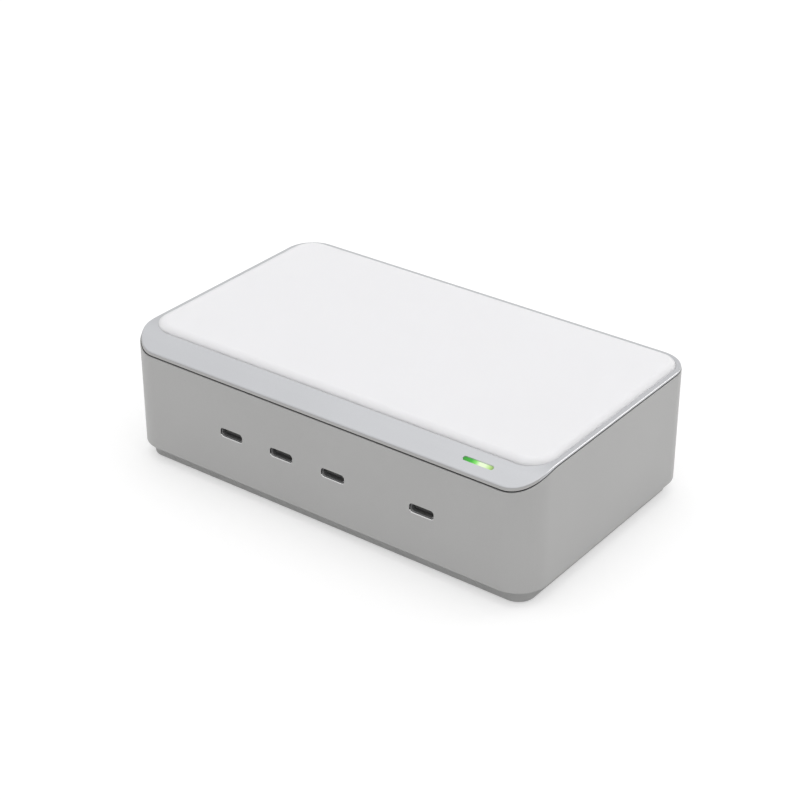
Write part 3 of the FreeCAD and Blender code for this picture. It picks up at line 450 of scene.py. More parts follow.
def grained(name, colour, roughness, metallic=0.0, grain=3000.0, shade=0.04, depth=0.02,
            cloud=25.0):
    """A surface of one colour with a fine grain, a faint cloudiness and a bump of that grain."""
    material, nodes, links = new_material(name)
    shader = nodes["Principled BSDF"]
    shader.inputs["Metallic"].default_value = metallic
    place = nodes.new("ShaderNodeTexCoord")

    fine = nodes.new("ShaderNodeTexNoise")
    fine.inputs["Scale"].default_value = grain
    fine.inputs["Detail"].default_value = GRAIN_DETAIL
    soft = nodes.new("ShaderNodeTexNoise")
    soft.inputs["Scale"].default_value = cloud
    soft.inputs["Detail"].default_value = CLOUD_DETAIL
    for texture in (fine, soft):
        links.new(place.outputs["Object"], texture.inputs["Vector"])

    both = nodes.new("ShaderNodeMath")
    both.operation = "ADD"
    links.new(fine.outputs["Fac"], both.inputs[0])
    links.new(soft.outputs["Fac"], both.inputs[1])
    tint = nodes.new("ShaderNodeMapRange")
    tint.inputs["From Min"].default_value = GRAIN_LOW
    tint.inputs["From Max"].default_value = GRAIN_HIGH
    tint.inputs["To Min"].default_value = 1 - shade
    tint.inputs["To Max"].default_value = 1 + shade
    links.new(both.outputs["Value"], tint.inputs["Value"])
    mix = nodes.new("ShaderNodeMix")
    mix.data_type = "RGBA"
    mix.blend_type = "MULTIPLY"
    mix.inputs["Factor"].default_value = 1.0
    mix.inputs["A"].default_value = (*colour, 1)
    links.new(tint.outputs["Result"], mix.inputs["B"])
    links.new(mix.outputs["Result"], shader.inputs["Base Color"])

    dull = nodes.new("ShaderNodeMapRange")
    dull.inputs["To Min"].default_value = roughness - GRAIN_DULLING
    dull.inputs["To Max"].default_value = roughness + GRAIN_DULLING
    links.new(fine.outputs["Fac"], dull.inputs["Value"])
    links.new(dull.outputs["Result"], shader.inputs["Roughness"])

    bump = nodes.new("ShaderNodeBump")
    bump.inputs["Strength"].default_value = depth
    bump.inputs["Distance"].default_value = GRAIN_HEIGHT
    links.new(fine.outputs["Fac"], bump.inputs["Height"])
    links.new(bump.outputs["Normal"], shader.inputs["Normal"])
    return material


body_metal = grained("satin_silver_metal", (0.515, 0.513, 0.508), 0.42, metallic=0.3)
# Painted highlight: a bright metal put only on rim faces that look towards the light, the upper
# faces of the cap's right edge and the lower and right-end lips of the port slots
painted_highlight_metal = grained("painted_highlight_rim", (0.86, 0.86, 0.865), 0.25, metallic=1.0, depth=0.005)
cap_satin = grained("satin_silver_cap", (0.605, 0.613, 0.634), 0.36, metallic=0.32)
cover_grey = grained("moulded_grey_cover", (0.55, 0.55, 0.545), 0.6, grain=2500.0, shade=0.08)
socket_steel = grained("dark_socket_steel", (0.28, 0.28, 0.284), 0.4, metallic=0.4, shade=0.08)
socket_black = grained("black_socket_plastic", (0.045, 0.045, 0.046), 0.5, shade=0.1)
contact_gilt = grained("gilt_contacts", (0.72, 0.52, 0.22), 0.3, metallic=1.0, shade=0.08)
inlet_black = grained("black_inlet_plastic", (0.02, 0.02, 0.021), 0.45, grain=2500.0, shade=0.12)
pin_nickel = grained("bright_pin_nickel", (0.60, 0.585, 0.56), 0.32, metallic=0.6, shade=0.06)
# Painted shade: a near-black put into the seam's gap and on the upper and left-end lips of the port
# slots, where they lie in shade
painted_shade_black = grained("painted_shade_near_black", (0.012, 0.012, 0.012), 0.8, shade=0.15)
foot_rubber = grained("dark_foot_rubber", (0.045, 0.045, 0.047), 0.8, grain=2000.0, shade=0.12,
                      depth=0.06)
screw_steel = grained("dull_screw_steel", (0.32, 0.32, 0.33), 0.35, metallic=1.0, shade=0.08)
# Each piece's own finish comes first; the others give its rims and lips painted highlight and
# painted shade
body_finishes = (body_metal, painted_highlight_metal, painted_shade_black)
cap_finishes = (cap_satin, painted_highlight_metal, body_metal)


def white_silicone():
    """A soft white that lets light in a little way."""
    material = grained("soft_white_silicone", (0.895, 0.89, 0.915), 0.7, grain=5000.0, shade=0.01)
    shader = material.node_tree.nodes["Principled BSDF"]
    shader.inputs["Subsurface Weight"].default_value = 1.0
    shader.inputs["Subsurface Radius"].default_value = (1, 1, 1)
    shader.inputs["Subsurface Scale"].default_value = PAD_GLOW_DEPTH
    return material


def lit_window():
    """A frosted window with light behind it: green at one end, nearly white past the middle."""
    material, nodes, links = new_material("lit_green_window")
    shader = nodes["Principled BSDF"]
    shader.inputs["Roughness"].default_value = LIGHT_ROUGHNESS
    shader.inputs["Emission Strength"].default_value = 1.0
    place = nodes.new("ShaderNodeTexCoord")
    axes = nodes.new("ShaderNodeSeparateXYZ")
    links.new(place.outputs["Object"], axes.inputs["Vector"])
    along = nodes.new("ShaderNodeMapRange")
    along.inputs["From Min"].default_value = light_low.x
    along.inputs["From Max"].default_value = light_high.x
    links.new(axes.outputs["X"], along.inputs["Value"])
    ramp = nodes.new("ShaderNodeValToRGB")
    links.new(along.outputs["Result"], ramp.inputs["Fac"])
    for stop, _ in LIGHT_COLOURS[1:-1]:
        ramp.color_ramp.elements.new(stop)
    for element, (stop, colour) in zip(ramp.color_ramp.elements, LIGHT_COLOURS):
        element.position = stop
        element.color = (*colour, 1)
    links.new(ramp.outputs["Color"], shader.inputs["Emission Color"])
    dim = nodes.new("ShaderNodeMix")
    dim.data_type = "RGBA"
    dim.blend_type = "MULTIPLY"
    dim.inputs["Factor"].default_value = 1.0
    dim.inputs["B"].default_value = (LIGHT_UNLIT, LIGHT_UNLIT, LIGHT_UNLIT, 1)
    links.new(ramp.outputs["Color"], dim.inputs["A"])
    links.new(dim.outputs["Result"], shader.inputs["Base Color"])
    return material


pad_white = white_silicone()
window_glow = lit_window()

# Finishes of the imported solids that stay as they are: the plinth and the parts inside
SOLID_FINISHES = (
    (cover_grey, ("bottom_cover",)),
    (grained("led_phosphor", (0.72, 0.70, 0.35), 0.4, shade=0.08), ("status_led",)),
    (grained("insulating_paper", (0.55, 0.50, 0.38), 0.8, grain=900.0, shade=0.1),
     ("insulating_sheet",)),
    (grained("green_board_laminate", (0.02, 0.13, 0.05), 0.45, grain=800.0, shade=0.15),
     ("main_board", "port_board", "power_card")),
    (grained("tinned_copper_bar", (0.70, 0.42, 0.28), 0.35, metallic=1.0, shade=0.08),
     ("dc_link_bars",)),
    (grained("lacquered_copper_wire", (0.48, 0.18, 0.06), 0.35, metallic=0.7, grain=1800.0,
             shade=0.2),
     ("choke_windings", "transformer_winding", "boost_winding")),
    (grained("grey_ferrite", (0.045, 0.045, 0.05), 0.6, shade=0.15),
     ("choke_core", "transformer_core", "boost_core")),
    (grained("black_bobbin_plastic", (0.03, 0.03, 0.03), 0.5, shade=0.12),
     ("transformer_bobbin", "boost_bobbin")),
    (grained("white_fuse_ceramic", (0.66, 0.64, 0.60), 0.5, shade=0.06), ("fuse",)),
    (grained("blue_disc_epoxy", (0.03, 0.10, 0.36), 0.4, shade=0.12), ("varistor",)),
    (grained("yellow_film_case", (0.62, 0.42, 0.05), 0.45, shade=0.08),
     ("suppression_capacitor", "line_capacitors")),
    (grained("bare_sink_aluminium", (0.60, 0.60, 0.61), 0.4, metallic=1.0, shade=0.08),
     ("rectifier_heat_sink", "output_heat_sink")),
    (grained("black_chip_epoxy", (0.02, 0.02, 0.021), 0.5, grain=4000.0, shade=0.15),
     ("bridge_rectifier", "switch_transistors", "output_rectifiers", "port_controllers",
      "buck_transistors")),
    (grained("dark_can_sleeve", (0.015, 0.02, 0.04), 0.35, shade=0.1), ("bulk_capacitors",)),
    (grained("pressed_capacitor_can", (0.55, 0.55, 0.56), 0.35, metallic=0.9, shade=0.06),
     ("output_capacitors",)),
    (grained("grey_inductor_powder", (0.10, 0.10, 0.105), 0.65, grain=2500.0, shade=0.2),
     ("buck_inductors",)),
)


# Body

def model_body():
    """A sleeve whose upper edge follows the slope, with a rebate for the plinth's cover."""
    body = rounded_block("charger_body", body_low, (body_high.x, body_high.y, seam_height),
                         CORNER_RADIUS)
    for finish in body_finishes:
        body.data.materials.append(finish)
    score_rows(body)
    with editing(body, "FACE"):
        pick(body, "FACE", lambda face: abs(face.normal.z) > FACING)
        bpy.ops.mesh.delete(type="FACE")
    lower_front(body, seam_height, SEAM_DROP, seam_height, seam_height)
    modify(body, "SOLIDIFY", thickness=WALL, offset=-1, use_even_offset=True)

    def outer_edge(edge):
        on_edge = at_height(edge, body_low.z) or on_roof(edge, seam_height, SEAM_DROP)
        return on_edge and on_wall(edge)

    bevel_edges(body, BODY_EDGE, EDGE_STEPS, outer_edge)
    cut(body, rounded_block(
        "cover_rebate",
        (body_low.x + REBATE, body_low.y + REBATE, body_low.z - MM),
        (body_high.x - REBATE, body_high.y - REBATE, body_low.z + REBATE_HEIGHT),
        CORNER_RADIUS - REBATE))
    return body


def rim_of(low, high, wall):
    """Chooses the edges of an opening, on the outside of the front or the rear wall."""

    def on_rim(vertex):
        spot = vertex.co
        inside = low[0] - TINY < spot.x < high[0] + TINY and low[2] - TINY < spot.z < high[2] + TINY
        return inside and abs(spot.y - wall) < TINY

    return lambda edge: all(on_rim(vertex) for vertex in edge.verts)


def flared_slot(low, high):
    """A slot that opens out at 45 degrees towards the front, to cut an opening and its rim."""
    front = body_low.y - (PORT_FLARE - PORT_RIM)
    grow = Vector((PORT_FLARE, 0, PORT_FLARE))
    flared = rounded_block("port_opening", Vector((low.x, front - MM, low.z)) - grow,
                           Vector((high.x, front, high.z)) + grow,
                           PORT_CORNER + PORT_FLARE, SLOT_STEPS, 1)
    with editing(flared, "FACE"):
        pick(flared, "FACE", lambda face: face.normal.y > FACING)
        bpy.ops.mesh.inset(thickness=PORT_FLARE, depth=PORT_FLARE, use_even_offset=True)
        bpy.ops.mesh.extrude_region_move(TRANSFORM_OT_translate={"value": (0, WALL, 0)})
    return flared


def lip_painted_light(normal):
    """Painted light on a slot's lip: a painted highlight below and at the right end, which look up
    towards the light, and painted shade on the rest.
    """
    bright = normal.z > PORT_LIP_TILT or normal.x < -PORT_LIP_TILT < normal.z
    return painted_highlight_metal if bright else painted_shade_black


def open_ports(body):
    """Four slots through the front wall, each with a seat for its socket and painted light on its
    lip: a painted highlight below and at the right end, painted shade above and at the left end.
    """
    for number in PORT_NUMBERS:
        low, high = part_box(f"usb_shell_{number}")
        play = Vector((PORT_GAP, 0, PORT_GAP))
        seat_low = Vector((low.x, body_low.y + PORT_LIP, low.z)) - play
        seat_high = Vector((high.x, body_low.y + 2 * WALL, high.z)) + play
        cut(body, slot_block("socket_seat", seat_low, seat_high, 1))
        cut(body, flared_slot(low + PORT_COVER_BELOW, high - PORT_COVER_ABOVE))
        # Paints the lip's faces by which way they look: highlight on those facing up or right, shade
        # on the rest
        for face in body.data.polygons:
            spot = face.center
            in_slot = seat_low.x < spot.x < seat_high.x and seat_low.z < spot.z < seat_high.z
            in_lip = body_low.y + TINY < spot.y < body_low.y + PORT_LIP
            if in_slot and in_lip:
                face.material_index = body_finishes.index(lip_painted_light(face.normal))


def open_inlet(body):
    """The mains inlet's opening through the rear wall."""
    low = (inlet_low.x - INLET_GAP, body_high.y - 2 * WALL, inlet_low.z - INLET_GAP)
    high = (inlet_high.x + INLET_GAP, body_high.y + MM, inlet_high.z + INLET_GAP)
    cut(body, rounded_block("inlet_opening", low, high, INLET_CORNER + INLET_GAP, SLOT_STEPS, 1))
    bevel_edges(body, INLET_RIM, EDGE_STEPS, rim_of(low, high, body_high.y))


body = model_body()
open_ports(body)
open_inlet(body)
smooth(body)
finish_piece(body, "sleeve_metal", body_metal, "body_sleeve")


# Cap, seam and pad

def cap_layer(name, inset, low, high, top_drop, edge=0, left=0):
    """A plate with the body's outline, drawn in, by more at the left if asked, with sloped faces."""
    layer = rounded_block(name, (body_low.x + inset + left, body_low.y + inset, low),
                          (body_high.x - inset, body_high.y - inset, high), CORNER_RADIUS - inset)
    if edge:
        bevel_edges(layer, edge, CAP_EDGE_STEPS, lambda rim: at_height(rim, high))
    score_rows(layer)
    lower_front(layer, high, top_drop, low + 2 * TINY, high)
    lower_front(layer, low, SEAM_DROP, low, low)
    return layer


def paint_rim_light_and_shade(cap):
    """A painted highlight on the upper faces of the cap's right edge, which look towards the soft
    box, and painted shade, the body's darker finish, on the steeper faces round the rest of its rim,
    reaching higher on the far edges.
    """
    for face in cap.data.polygons:
        normal = face.normal
        if depth_in(face.center) > CAP_INSET + CAP_EDGE or normal.z < RIM_UNDERSIDE:
            continue
        tilt = FAR_SHADE_PAINT_TILT if normal.y > normal.x else SHADE_PAINT_TILT
        # Painted highlight on the right edge, painted shade elsewhere
        if turned_right(face):
            if HIGHLIGHT_PAINT_STEEP < normal.z < HIGHLIGHT_PAINT_FLAT:
                face.material_index = cap_finishes.index(painted_highlight_metal)
        elif normal.z < tilt:
            face.material_index = cap_finishes.index(body_metal)


def model_cap():
    """The plate that shows, the land that rests on the body and the plug inside it."""
    underside = seam_height + SEAM_GAP
    cap = cap_layer("charger_cap", CAP_INSET, underside, cap_height, CAP_DROP, CAP_EDGE,
                    CAP_LEFT_INSET)
    land = cap_layer("cap_land", SEAM_GAP_DEPTH, seam_height, underside + CAP_OVERLAP, SEAM_DROP)
    plug = cap_layer("cap_plug", SEAM_GAP_DEPTH + CAP_PLUG_INSET, seam_height - CAP_PLUG_DEPTH,
                     seam_height + CAP_OVERLAP, SEAM_DROP)
    for finish in cap_finishes:
        cap.data.materials.append(finish)
    paint_rim_light_and_shade(cap)
    fuse(land, plug)
    fuse(cap, land)
    return cap


def model_seam_shade_strip():
    """A near-black strip set into the seam between the body and the cap: painted shade that darkens
    the gap.
    """
    low, high = seam_height + SEAM_SHADE_PLAY, seam_height + SEAM_GAP - SEAM_SHADE_PLAY
    seam_shade_strip = cap_layer("painted_seam_shade_strip", SEAM_SHADE_INSET, low, high, SEAM_DROP)
    cut(seam_shade_strip, rounded_block(
        "seam_shade_strip_middle",
        (body_low.x + SEAM_GAP_DEPTH, body_low.y + SEAM_GAP_DEPTH, body_low.z),
        (body_high.x - SEAM_GAP_DEPTH, body_high.y - SEAM_GAP_DEPTH, cap_high.z + MM),
        CORNER_RADIUS - SEAM_GAP_DEPTH))
    return seam_shade_strip


def pad_block(name, grow, top):
    """The pad's outline from the seat's level up to a height."""
    low = (pad_low.x - grow + PAD_LEFT_TRIM, pad_low.y, cap_height - PAD_SEAT)
    high = (pad_high.x + grow, pad_high.y + grow, top)
    return rounded_block(name, low, high, PAD_CORNER + grow)


def curve_seat(piece):
    """Bends the underside of the pad's outline to the cap's slope."""
    score_rows(piece)
    seat = cap_height - PAD_SEAT
    lower_front(piece, seat, CAP_DROP, seat, seat)
    return piece


def open_cap(cap):
    """The pad's recess and the slot of the light window."""
    cut(cap, curve_seat(pad_block("pad_recess", PAD_GROW + PAD_GAP, pad_high.z + MM)))
    slot_low = light_low - Vector((LIGHT_GAP, LIGHT_GAP, LIGHT_SLOT_DEPTH))
    slot_high = light_high + Vector((LIGHT_GAP, LIGHT_GAP, MM))
    cut(cap, slot_block("light_slot", slot_low, slot_high, 2))


def ease(share):
    """Rises from 0 to 1 with a soft start and a soft end."""
    return share * share * (3 - 2 * share)


def fill_far_edges(pad, seat):
    """Makes the round fuller towards the pad's left and back edges, row by row."""
    reach = PAD_CORNER + PAD_GROW
    left, back = pad_low.x - PAD_GROW + PAD_LEFT_TRIM, pad_high.y + PAD_GROW
    for axis, edge, inward in ((0, left, 1), (1, back, -1)):
        chosen = {v.index for v in pad.data.vertices
                  if v.co.z > seat + TINY and (v.co[axis] - edge) * inward < reach}
        with editing(pad, "VERT") as mesh:
            rows = {row_of(v, axis) for v in mesh.verts if v.index in chosen}
            for row in sorted(rows):
                share = max((row - edge) * inward / reach, 0)
                fall = PAD_FAR_FALL + (1 - PAD_FAR_FALL) * ease(share)
                pick(pad, "VERT", lambda v: v.index in chosen and row_of(v, axis) == row)
                bpy.ops.transform.resize(value=(1, 1, fall), center_override=(0, 0, pad_high.z))


def model_pad():
    """The pad, with a wide low round along its upper edge."""
    seat = cap_height - PAD_SEAT
    tall = seat + (pad_high.z - seat) / PAD_SQUASH
    pad = pad_block("charger_pad", PAD_GROW, tall)
    bevel_edges(pad, PAD_ROUND, PAD_ROUND_STEPS, lambda edge: at_height(edge, tall),
                PAD_ROUND_SHAPE)
    with editing(pad, "VERT"):
        bpy.ops.mesh.select_all(action="SELECT")
        bpy.ops.transform.resize(value=(1, 1, PAD_SQUASH), center_override=(0, 0, seat))
    fill_far_edges(pad, seat)
    return curve_seat(pad)


cap = model_cap()
open_cap(cap)
smooth(cap)
finish_piece(cap, "cap_plastic", cap_satin, "top_cap")
# Painted shade: a near-black strip in the seam's gap
seam_shade_strip = model_seam_shade_strip()
smooth(seam_shade_strip)
finish_piece(seam_shade_strip, "foot_rubber", painted_shade_black)
pad = model_pad()
smooth(pad)
finish_piece(pad, "pad_silicone", pad_white, "top_pad")


# Light window

def model_light_window():
    """A slot-shaped window cut off along the slope, a little below the strip's face."""
    window = slot_block("light_window", light_low, light_high + Vector((0, 0, MM)), 2)
    middle = (light_low + light_high) / 2
    middle.z = roof(middle.y, cap_height, CAP_DROP) - LIGHT_SUNK
    slope_normal = Vector((0, -math.sin(SLOPE), math.cos(SLOPE)))
    with editing(window, "FACE"):
        bpy.ops.mesh.select_all(action="SELECT")
        bpy.ops.mesh.bisect(plane_co=middle, plane_no=slope_normal, use_fill=True,
                            clear_outer=True)

    def top_edge(edge):
        return all(abs((v.co - middle).dot(slope_normal)) < TINY for v in edge.verts)

    bevel_edges(window, LIGHT_EDGE, EDGE_STEPS, top_edge)
    return window


window = model_light_window()
smooth(window)
finish_piece(window, "light_window", window_glow, "light_guide")


# USB-C sockets

def model_shell():
    """A thin steel tube with a rounded lip."""
    low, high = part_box("usb_shell_1")
    shell = slot_block("usb_socket_shell_1", low, high, 1)
    with editing(shell, "FACE"):
        pick(shell, "FACE", lambda face: abs(face.normal.y) > FACING)
        bpy.ops.mesh.inset(thickness=SHELL_WALL, use_even_offset=True)
        bpy.ops.mesh.bridge_edge_loops()

    def lip_edge(edge):
        in_front = all(abs(v.co.y - low.y) < TINY for v in edge.verts)
        return in_front and any(abs(face.normal.y) < ACROSS for face in edge.link_faces)

    bevel_edges(shell, SHELL_LIP, EDGE_STEPS, lip_edge)
    return shell


def model_tongue():
    """The black blade of the socket and the block that holds it."""
    low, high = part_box("usb_tongue_1")
    middle = (low + high) / 2
    base = slot_block("usb_socket_tongue_1", (low.x, low.y + TONGUE_LENGTH, low.z), high, 1)
    blade = block("tongue_blade",
                  (middle.x - TONGUE_WIDTH / 2, low.y, middle.z - TONGUE_THICKNESS / 2),
                  (middle.x + TONGUE_WIDTH / 2, low.y + TONGUE_LENGTH + MM,
                   middle.z + TONGUE_THICKNESS / 2))
    bevel_edges(blade, TONGUE_EDGE, EDGE_STEPS,
                lambda edge: any(abs(v.co.y - low.y) < TINY for v in edge.verts))
    fuse(base, blade)
    return base


def model_contacts():
    """Two rows of gilt strips on the blade."""
    low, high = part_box("usb_tongue_1")
    middle = (low + high) / 2
    left = middle.x - CONTACT_PITCH * (CONTACT_COUNT - 1) / 2 - CONTACT_WIDTH / 2
    front = low.y + CONTACT_SETBACK
    top = middle.z + TONGUE_THICKNESS / 2
    strip = block("usb_socket_contacts_1", (left, front, top - CONTACT_HEIGHT),
                  (left + CONTACT_WIDTH, front + CONTACT_LENGTH, top + CONTACT_HEIGHT))
    bevel_edges(strip, CONTACT_HEIGHT / 2, 1, lambda edge: at_height(edge, top + CONTACT_HEIGHT))
    modify(strip, "ARRAY", count=CONTACT_COUNT, use_relative_offset=False,
           use_constant_offset=True, constant_offset_displace=(CONTACT_PITCH, 0, 0))
    below = copy_to(strip, "contacts_below", (0, 0, 0))
    with editing(below, "VERT"):
        bpy.ops.mesh.select_all(action="SELECT")
        bpy.ops.transform.rotate(value=math.pi, orient_axis="Y", center_override=middle)
    return join(strip, below)


def fit_sockets():
    """One socket, modelled once, and its copies at the other three openings."""
    shell, tongue, contacts = model_shell(), model_tongue(), model_contacts()
    for piece in (shell, tongue, contacts):
        smooth(piece)
    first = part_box("usb_shell_1")[0]
    for number in PORT_NUMBERS:
        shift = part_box(f"usb_shell_{number}")[0] - first
        if number == 1:
            socket = (shell, tongue, contacts)
        else:
            socket = (copy_to(shell, f"usb_socket_shell_{number}", shift),
                      copy_to(tongue, f"usb_socket_tongue_{number}", shift),
                      copy_to(contacts, f"usb_socket_contacts_{number}", shift))
        finish_piece(socket[0], "socket_steel", socket_steel, f"usb_shell_{number}")
        finish_piece(socket[1], "socket_plastic", socket_black, f"usb_tongue_{number}")
        finish_piece(socket[2], "pin_metal", contact_gilt)


fit_sockets()


# Mains inlet

def model_inlet():
    """A black block with a deep well, two upper corners cut off, and a slot for each pin."""
    middle = (inlet_low + inlet_high) / 2
    inlet = rounded_block("mains_inlet", inlet_low, inlet_high, INLET_CORNER, SLOT_STEPS, 1)
    bevel_edges(inlet, INLET_EDGE, EDGE_STEPS,
                lambda edge: all(abs(v.co.y - inlet_high.y) < TINY for v in edge.verts))
    low = (middle.x - WELL_WIDTH / 2, inlet_high.y - WELL_DEPTH, middle.z - WELL_HEIGHT / 2)
    high = (middle.x + WELL_WIDTH / 2, inlet_high.y + MM, middle.z + WELL_HEIGHT / 2)
    well = block("inlet_well", low, high)
    bevel_edges(well, WELL_BEVEL, 1,
                lambda edge: runs_along(edge, 1) and edge.verts[0].co.z > middle.z)
    bevel_edges(well, WELL_CORNER, EDGE_STEPS, lambda edge: runs_along(edge, 1))
    cut(inlet, well)
    bevel_edges(inlet, WELL_EDGE, EDGE_STEPS, rim_of(low, high, inlet_high.y))
    for use in PINS:
        pin_low, pin_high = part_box(f"inlet_pin_{use}")
        gap = Vector((PIN_GAP, MM, PIN_GAP))
        cut(inlet, block("pin_slot", pin_low - gap, pin_high + gap))
    return inlet


def model_pin(use):
    """A flat pin with rounded edges and a tapered tip."""
    low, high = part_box(f"inlet_pin_{use}")
    pin = rounded_block(f"mains_pin_{use}", low, (high.x, high.y - PIN_TIP, high.z), PIN_EDGE,
                        EDGE_STEPS, 1)
    with editing(pin, "FACE"):
        pick(pin, "FACE", lambda face: face.normal.y > FACING)
        bpy.ops.mesh.inset(thickness=PIN_TAPER, depth=PIN_TIP, use_even_offset=True)
    return pin


inlet = model_inlet()
smooth(inlet)
finish_piece(inlet, "inlet_plastic", inlet_black, "inlet_body")
for pin_use in PINS:
    pin = model_pin(pin_use)
    smooth(pin)
    finish_piece(pin, "pin_metal", pin_nickel, f"inlet_pin_{pin_use}")


# Underside

def model_trim():
    """The band round the plinth, with a rounded lower edge."""
    low = (body_low.x + TRIM_INSET, body_low.y + TRIM_INSET, TRIM_LIFT)
    high = (body_high.x - TRIM_INSET, body_high.y - TRIM_INSET, body_low.z - TRIM_GAP)
    trim = rounded_block("plinth_trim", low, high, TRIM_CORNER)
    bevel_edges(trim, TRIM_EDGE, EDGE_STEPS, lambda edge: at_height(edge, TRIM_LIFT))
    inner = TRIM_INSET + TRIM_WIDTH
    cut(trim, rounded_block(
        "trim_middle",
        (body_low.x + inner, body_low.y + inner, -MM),
        (body_high.x - inner, body_high.y - inner, body_low.z + MM), CORNER_RADIUS - inner))
    return trim


def model_feet():
    """Two long rubber strips with rounded lower edges."""
    near_high = (foot_high.x, foot_low.y + FOOT_WIDTH, foot_high.z)
    near = slot_block("foot_strips", foot_low, near_high, 2)
    bevel_edges(near, FOOT_EDGE, EDGE_STEPS, lambda edge: at_height(edge, foot_low.z))
    far = copy_to(near, "far_strip", (0, foot_high.y - foot_low.y - FOOT_WIDTH, 0))
    return join(near, far)


def model_screws():
    """Four cap screws with a six-sided socket, heads down."""
    spot = Vector((screw_low.x + SCREW_HEAD_RADIUS, screw_low.y + SCREW_HEAD_RADIUS, screw_low.z))
    seat = screw_low.z + SCREW_HEAD_HEIGHT
    bpy.ops.object.select_all(action="DESELECT")
    bpy.ops.mesh.primitive_cylinder_add(
        vertices=SCREW_SIDES, radius=SCREW_HEAD_RADIUS, depth=SCREW_HEAD_HEIGHT,
        location=spot + Vector((0, 0, SCREW_HEAD_HEIGHT / 2)))
    screw = bpy.context.object
    screw.name = screw.data.name = "cover_screw_set"
    bpy.ops.object.transform_apply(location=True, rotation=True, scale=True)
    bevel_edges(screw, SCREW_HEAD_EDGE, EDGE_STEPS, lambda edge: at_height(edge, screw_low.z))
    with editing(screw, "FACE"):
        pick(screw, "FACE", lambda face: face.normal.z > FACING)
        bpy.ops.mesh.inset(thickness=SCREW_HEAD_RADIUS - SCREW_RADIUS)
        bpy.ops.mesh.extrude_region_move(
            TRANSFORM_OT_translate={"value": (0, 0, screw_high.z - seat)})
    bpy.ops.object.select_all(action="DESELECT")
    bpy.ops.mesh.primitive_cylinder_add(
        vertices=SCREW_SOCKET_SIDES, radius=SCREW_SOCKET_RADIUS, depth=2 * SCREW_SOCKET_DEPTH,
        location=spot)
    cut(screw, bpy.context.object)
    across = screw_high.x - screw_low.x - 2 * SCREW_HEAD_RADIUS
    along = screw_high.y - screw_low.y - 2 * SCREW_HEAD_RADIUS
    others = [copy_to(screw, "screw_copy", shift)
              for shift in ((across, 0, 0), (0, along, 0), (across, along, 0))]
    return join(screw, *others)


trim = model_trim()
smooth(trim)
finish_piece(trim, "cover_plastic", cover_grey)
feet = model_feet()
smooth(feet)
finish_piece(feet, "foot_rubber", foot_rubber, "rubber_feet")
screws = model_screws()
smooth(screws)
finish_piece(screws, "screw_steel", screw_steel, "cover_screws")


# Plinth and parts inside

for finish, node_names in SOLID_FINISHES:
    for node_name in node_names:
        node = NODES[node_name]
        node.data.materials.clear()
        node.data.materials.append(finish)


# Stage

def light_up():
    """Soft light from above, weaker towards the horizon, and a soft box behind on the right."""
    world = bpy.data.worlds.new("studio")
    bpy.context.scene.world = world
    world.use_nodes = True
    nodes, links = world.node_tree.nodes, world.node_tree.links
    nodes["Background"].inputs["Color"].default_value = (1, 1, 1, 1)
    place = nodes.new("ShaderNodeTexCoord")
    axes = nodes.new("ShaderNodeSeparateXYZ")
    links.new(place.outputs["Generated"], axes.inputs["Vector"])
    fall = nodes.new("ShaderNodeMapRange")
    fall.inputs["To Min"].default_value = HORIZON_LIGHT
    fall.inputs["To Max"].default_value = ZENITH_LIGHT
    steep = nodes.new("ShaderNodeMath")
    steep.operation = "POWER"
    steep.inputs[1].default_value = ZENITH_STEEPNESS
    links.new(axes.outputs["Z"], steep.inputs[0])
    links.new(steep.outputs["Value"], fall.inputs["Value"])
    links.new(fall.outputs["Result"], nodes["Background"].inputs["Strength"])

    lamp = bpy.data.lights.new("soft_box", "AREA")
    lamp.shape = "SQUARE"
    lamp.size = SOFT_BOX_SIZE
    lamp.energy = SOFT_BOX_POWER
    soft_box = bpy.data.objects.new("soft_box", lamp)
    bpy.context.scene.collection.objects.link(soft_box)
    soft_box.location = SOFT_BOX_PLACE
    soft_box.rotation_euler = SOFT_BOX_PLACE.to_track_quat("Z", "Y").to_euler()


def stage_material(name):
    """A material that mixes two shaders: the second for what the camera, mirrors and glass see."""
    material, nodes, links = new_material(name)
    nodes.remove(nodes["Principled BSDF"])
    path = nodes.new("ShaderNodeLightPath")
    seen = nodes.new("ShaderNodeMath")
    mirrored = nodes.new("ShaderNodeMath")
    for either in (seen, mirrored):
        either.operation = "MAXIMUM"
    links.new(path.outputs["Is Glossy Ray"], mirrored.inputs[0])
    links.new(path.outputs["Is Transmission Ray"], mirrored.inputs[1])
    links.new(path.outputs["Is Camera Ray"], seen.inputs[0])
    links.new(mirrored.outputs["Value"], seen.inputs[1])
    choice = nodes.new("ShaderNodeMixShader")
    links.new(seen.outputs["Value"], choice.inputs["Fac"])
    links.new(choice.outputs["Shader"], nodes["Material Output"].inputs["Surface"])
    return material, nodes, links, choice


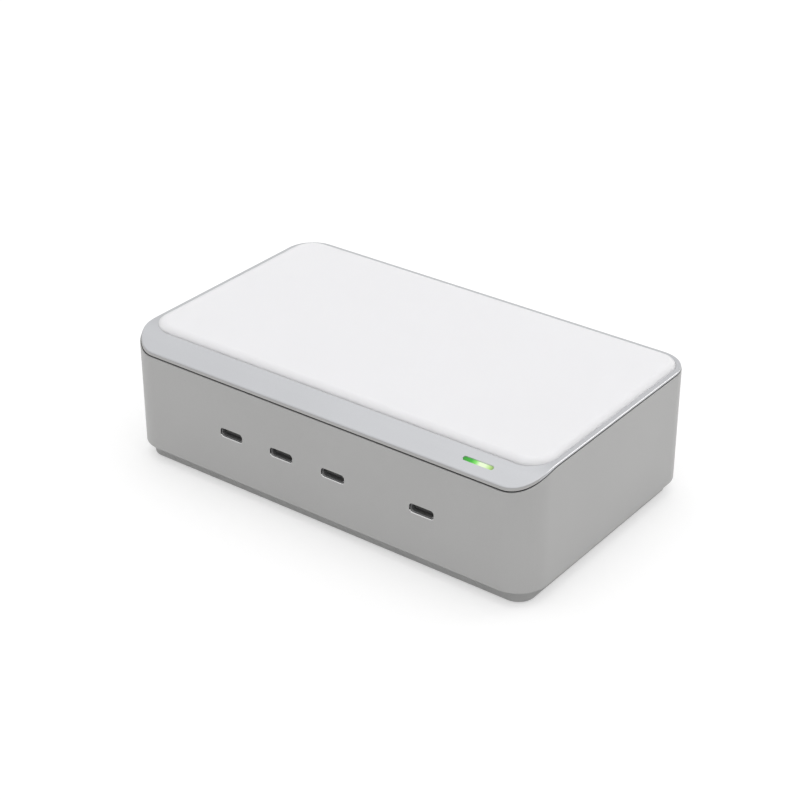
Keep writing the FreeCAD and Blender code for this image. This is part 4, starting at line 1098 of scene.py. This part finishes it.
def lay_floor():
    """A white floor: what bounces on to the object is duller than what the camera sees."""
    bpy.ops.object.select_all(action="DESELECT")
    bpy.ops.mesh.primitive_plane_add(size=FLOOR_SIZE, location=(0, 0, -FLOOR_DROP))
    floor = bpy.context.object
    floor.name = "studio_floor"
    material, nodes, links, choice = stage_material("white_floor")
    dull = nodes.new("ShaderNodeBsdfDiffuse")
    dull.inputs["Color"].default_value = (*FLOOR_SHADE, 1)
    white = nodes.new("ShaderNodeBsdfDiffuse")
    white.inputs["Color"].default_value = (*FLOOR_WHITE, 1)
    glow = nodes.new("ShaderNodeEmission")
    glow.inputs["Strength"].default_value = FLOOR_GLOW
    bright = nodes.new("ShaderNodeAddShader")
    links.new(white.outputs["BSDF"], bright.inputs[0])
    links.new(glow.outputs["Emission"], bright.inputs[1])
    links.new(dull.outputs["BSDF"], choice.inputs[1])
    links.new(bright.outputs["Shader"], choice.inputs[2])
    floor.data.materials.append(material)


def hang_backdrop():
    """A white wall round the floor for low views, which lets all light on the object through."""
    bpy.ops.object.select_all(action="DESELECT")
    bpy.ops.mesh.primitive_cylinder_add(
        vertices=BACKDROP_SIDES, radius=BACKDROP_RADIUS, depth=BACKDROP_HEIGHT,
        end_fill_type="NOTHING", location=(0, 0, BACKDROP_HEIGHT / 2 - FLOOR_DROP))
    backdrop = bpy.context.object
    backdrop.name = "studio_backdrop"
    with editing(backdrop, "FACE"):
        bpy.ops.mesh.select_all(action="SELECT")
        bpy.ops.mesh.flip_normals()
    material, nodes, links, choice = stage_material("white_backdrop")
    clear = nodes.new("ShaderNodeBsdfTransparent")
    white = nodes.new("ShaderNodeEmission")
    links.new(clear.outputs["BSDF"], choice.inputs[1])
    links.new(white.outputs["Emission"], choice.inputs[2])
    backdrop.data.materials.append(material)


def aim_camera():
    """The photograph's viewpoint."""
    camera = bpy.data.objects.new("camera", bpy.data.cameras.new("camera"))
    bpy.context.scene.collection.objects.link(camera)
    camera.location = CAMERA_PLACE
    camera.rotation_euler = (math.pi / 2 - CAMERA_DIP, 0, CAMERA_TURN)
    camera.data.lens = CAMERA_LENS
    camera.data.sensor_width = CAMERA_SENSOR
    bpy.context.scene.camera = camera


light_up()
lay_floor()
hang_backdrop()
aim_camera()
bpy.context.scene.view_settings.view_transform = "Standard"
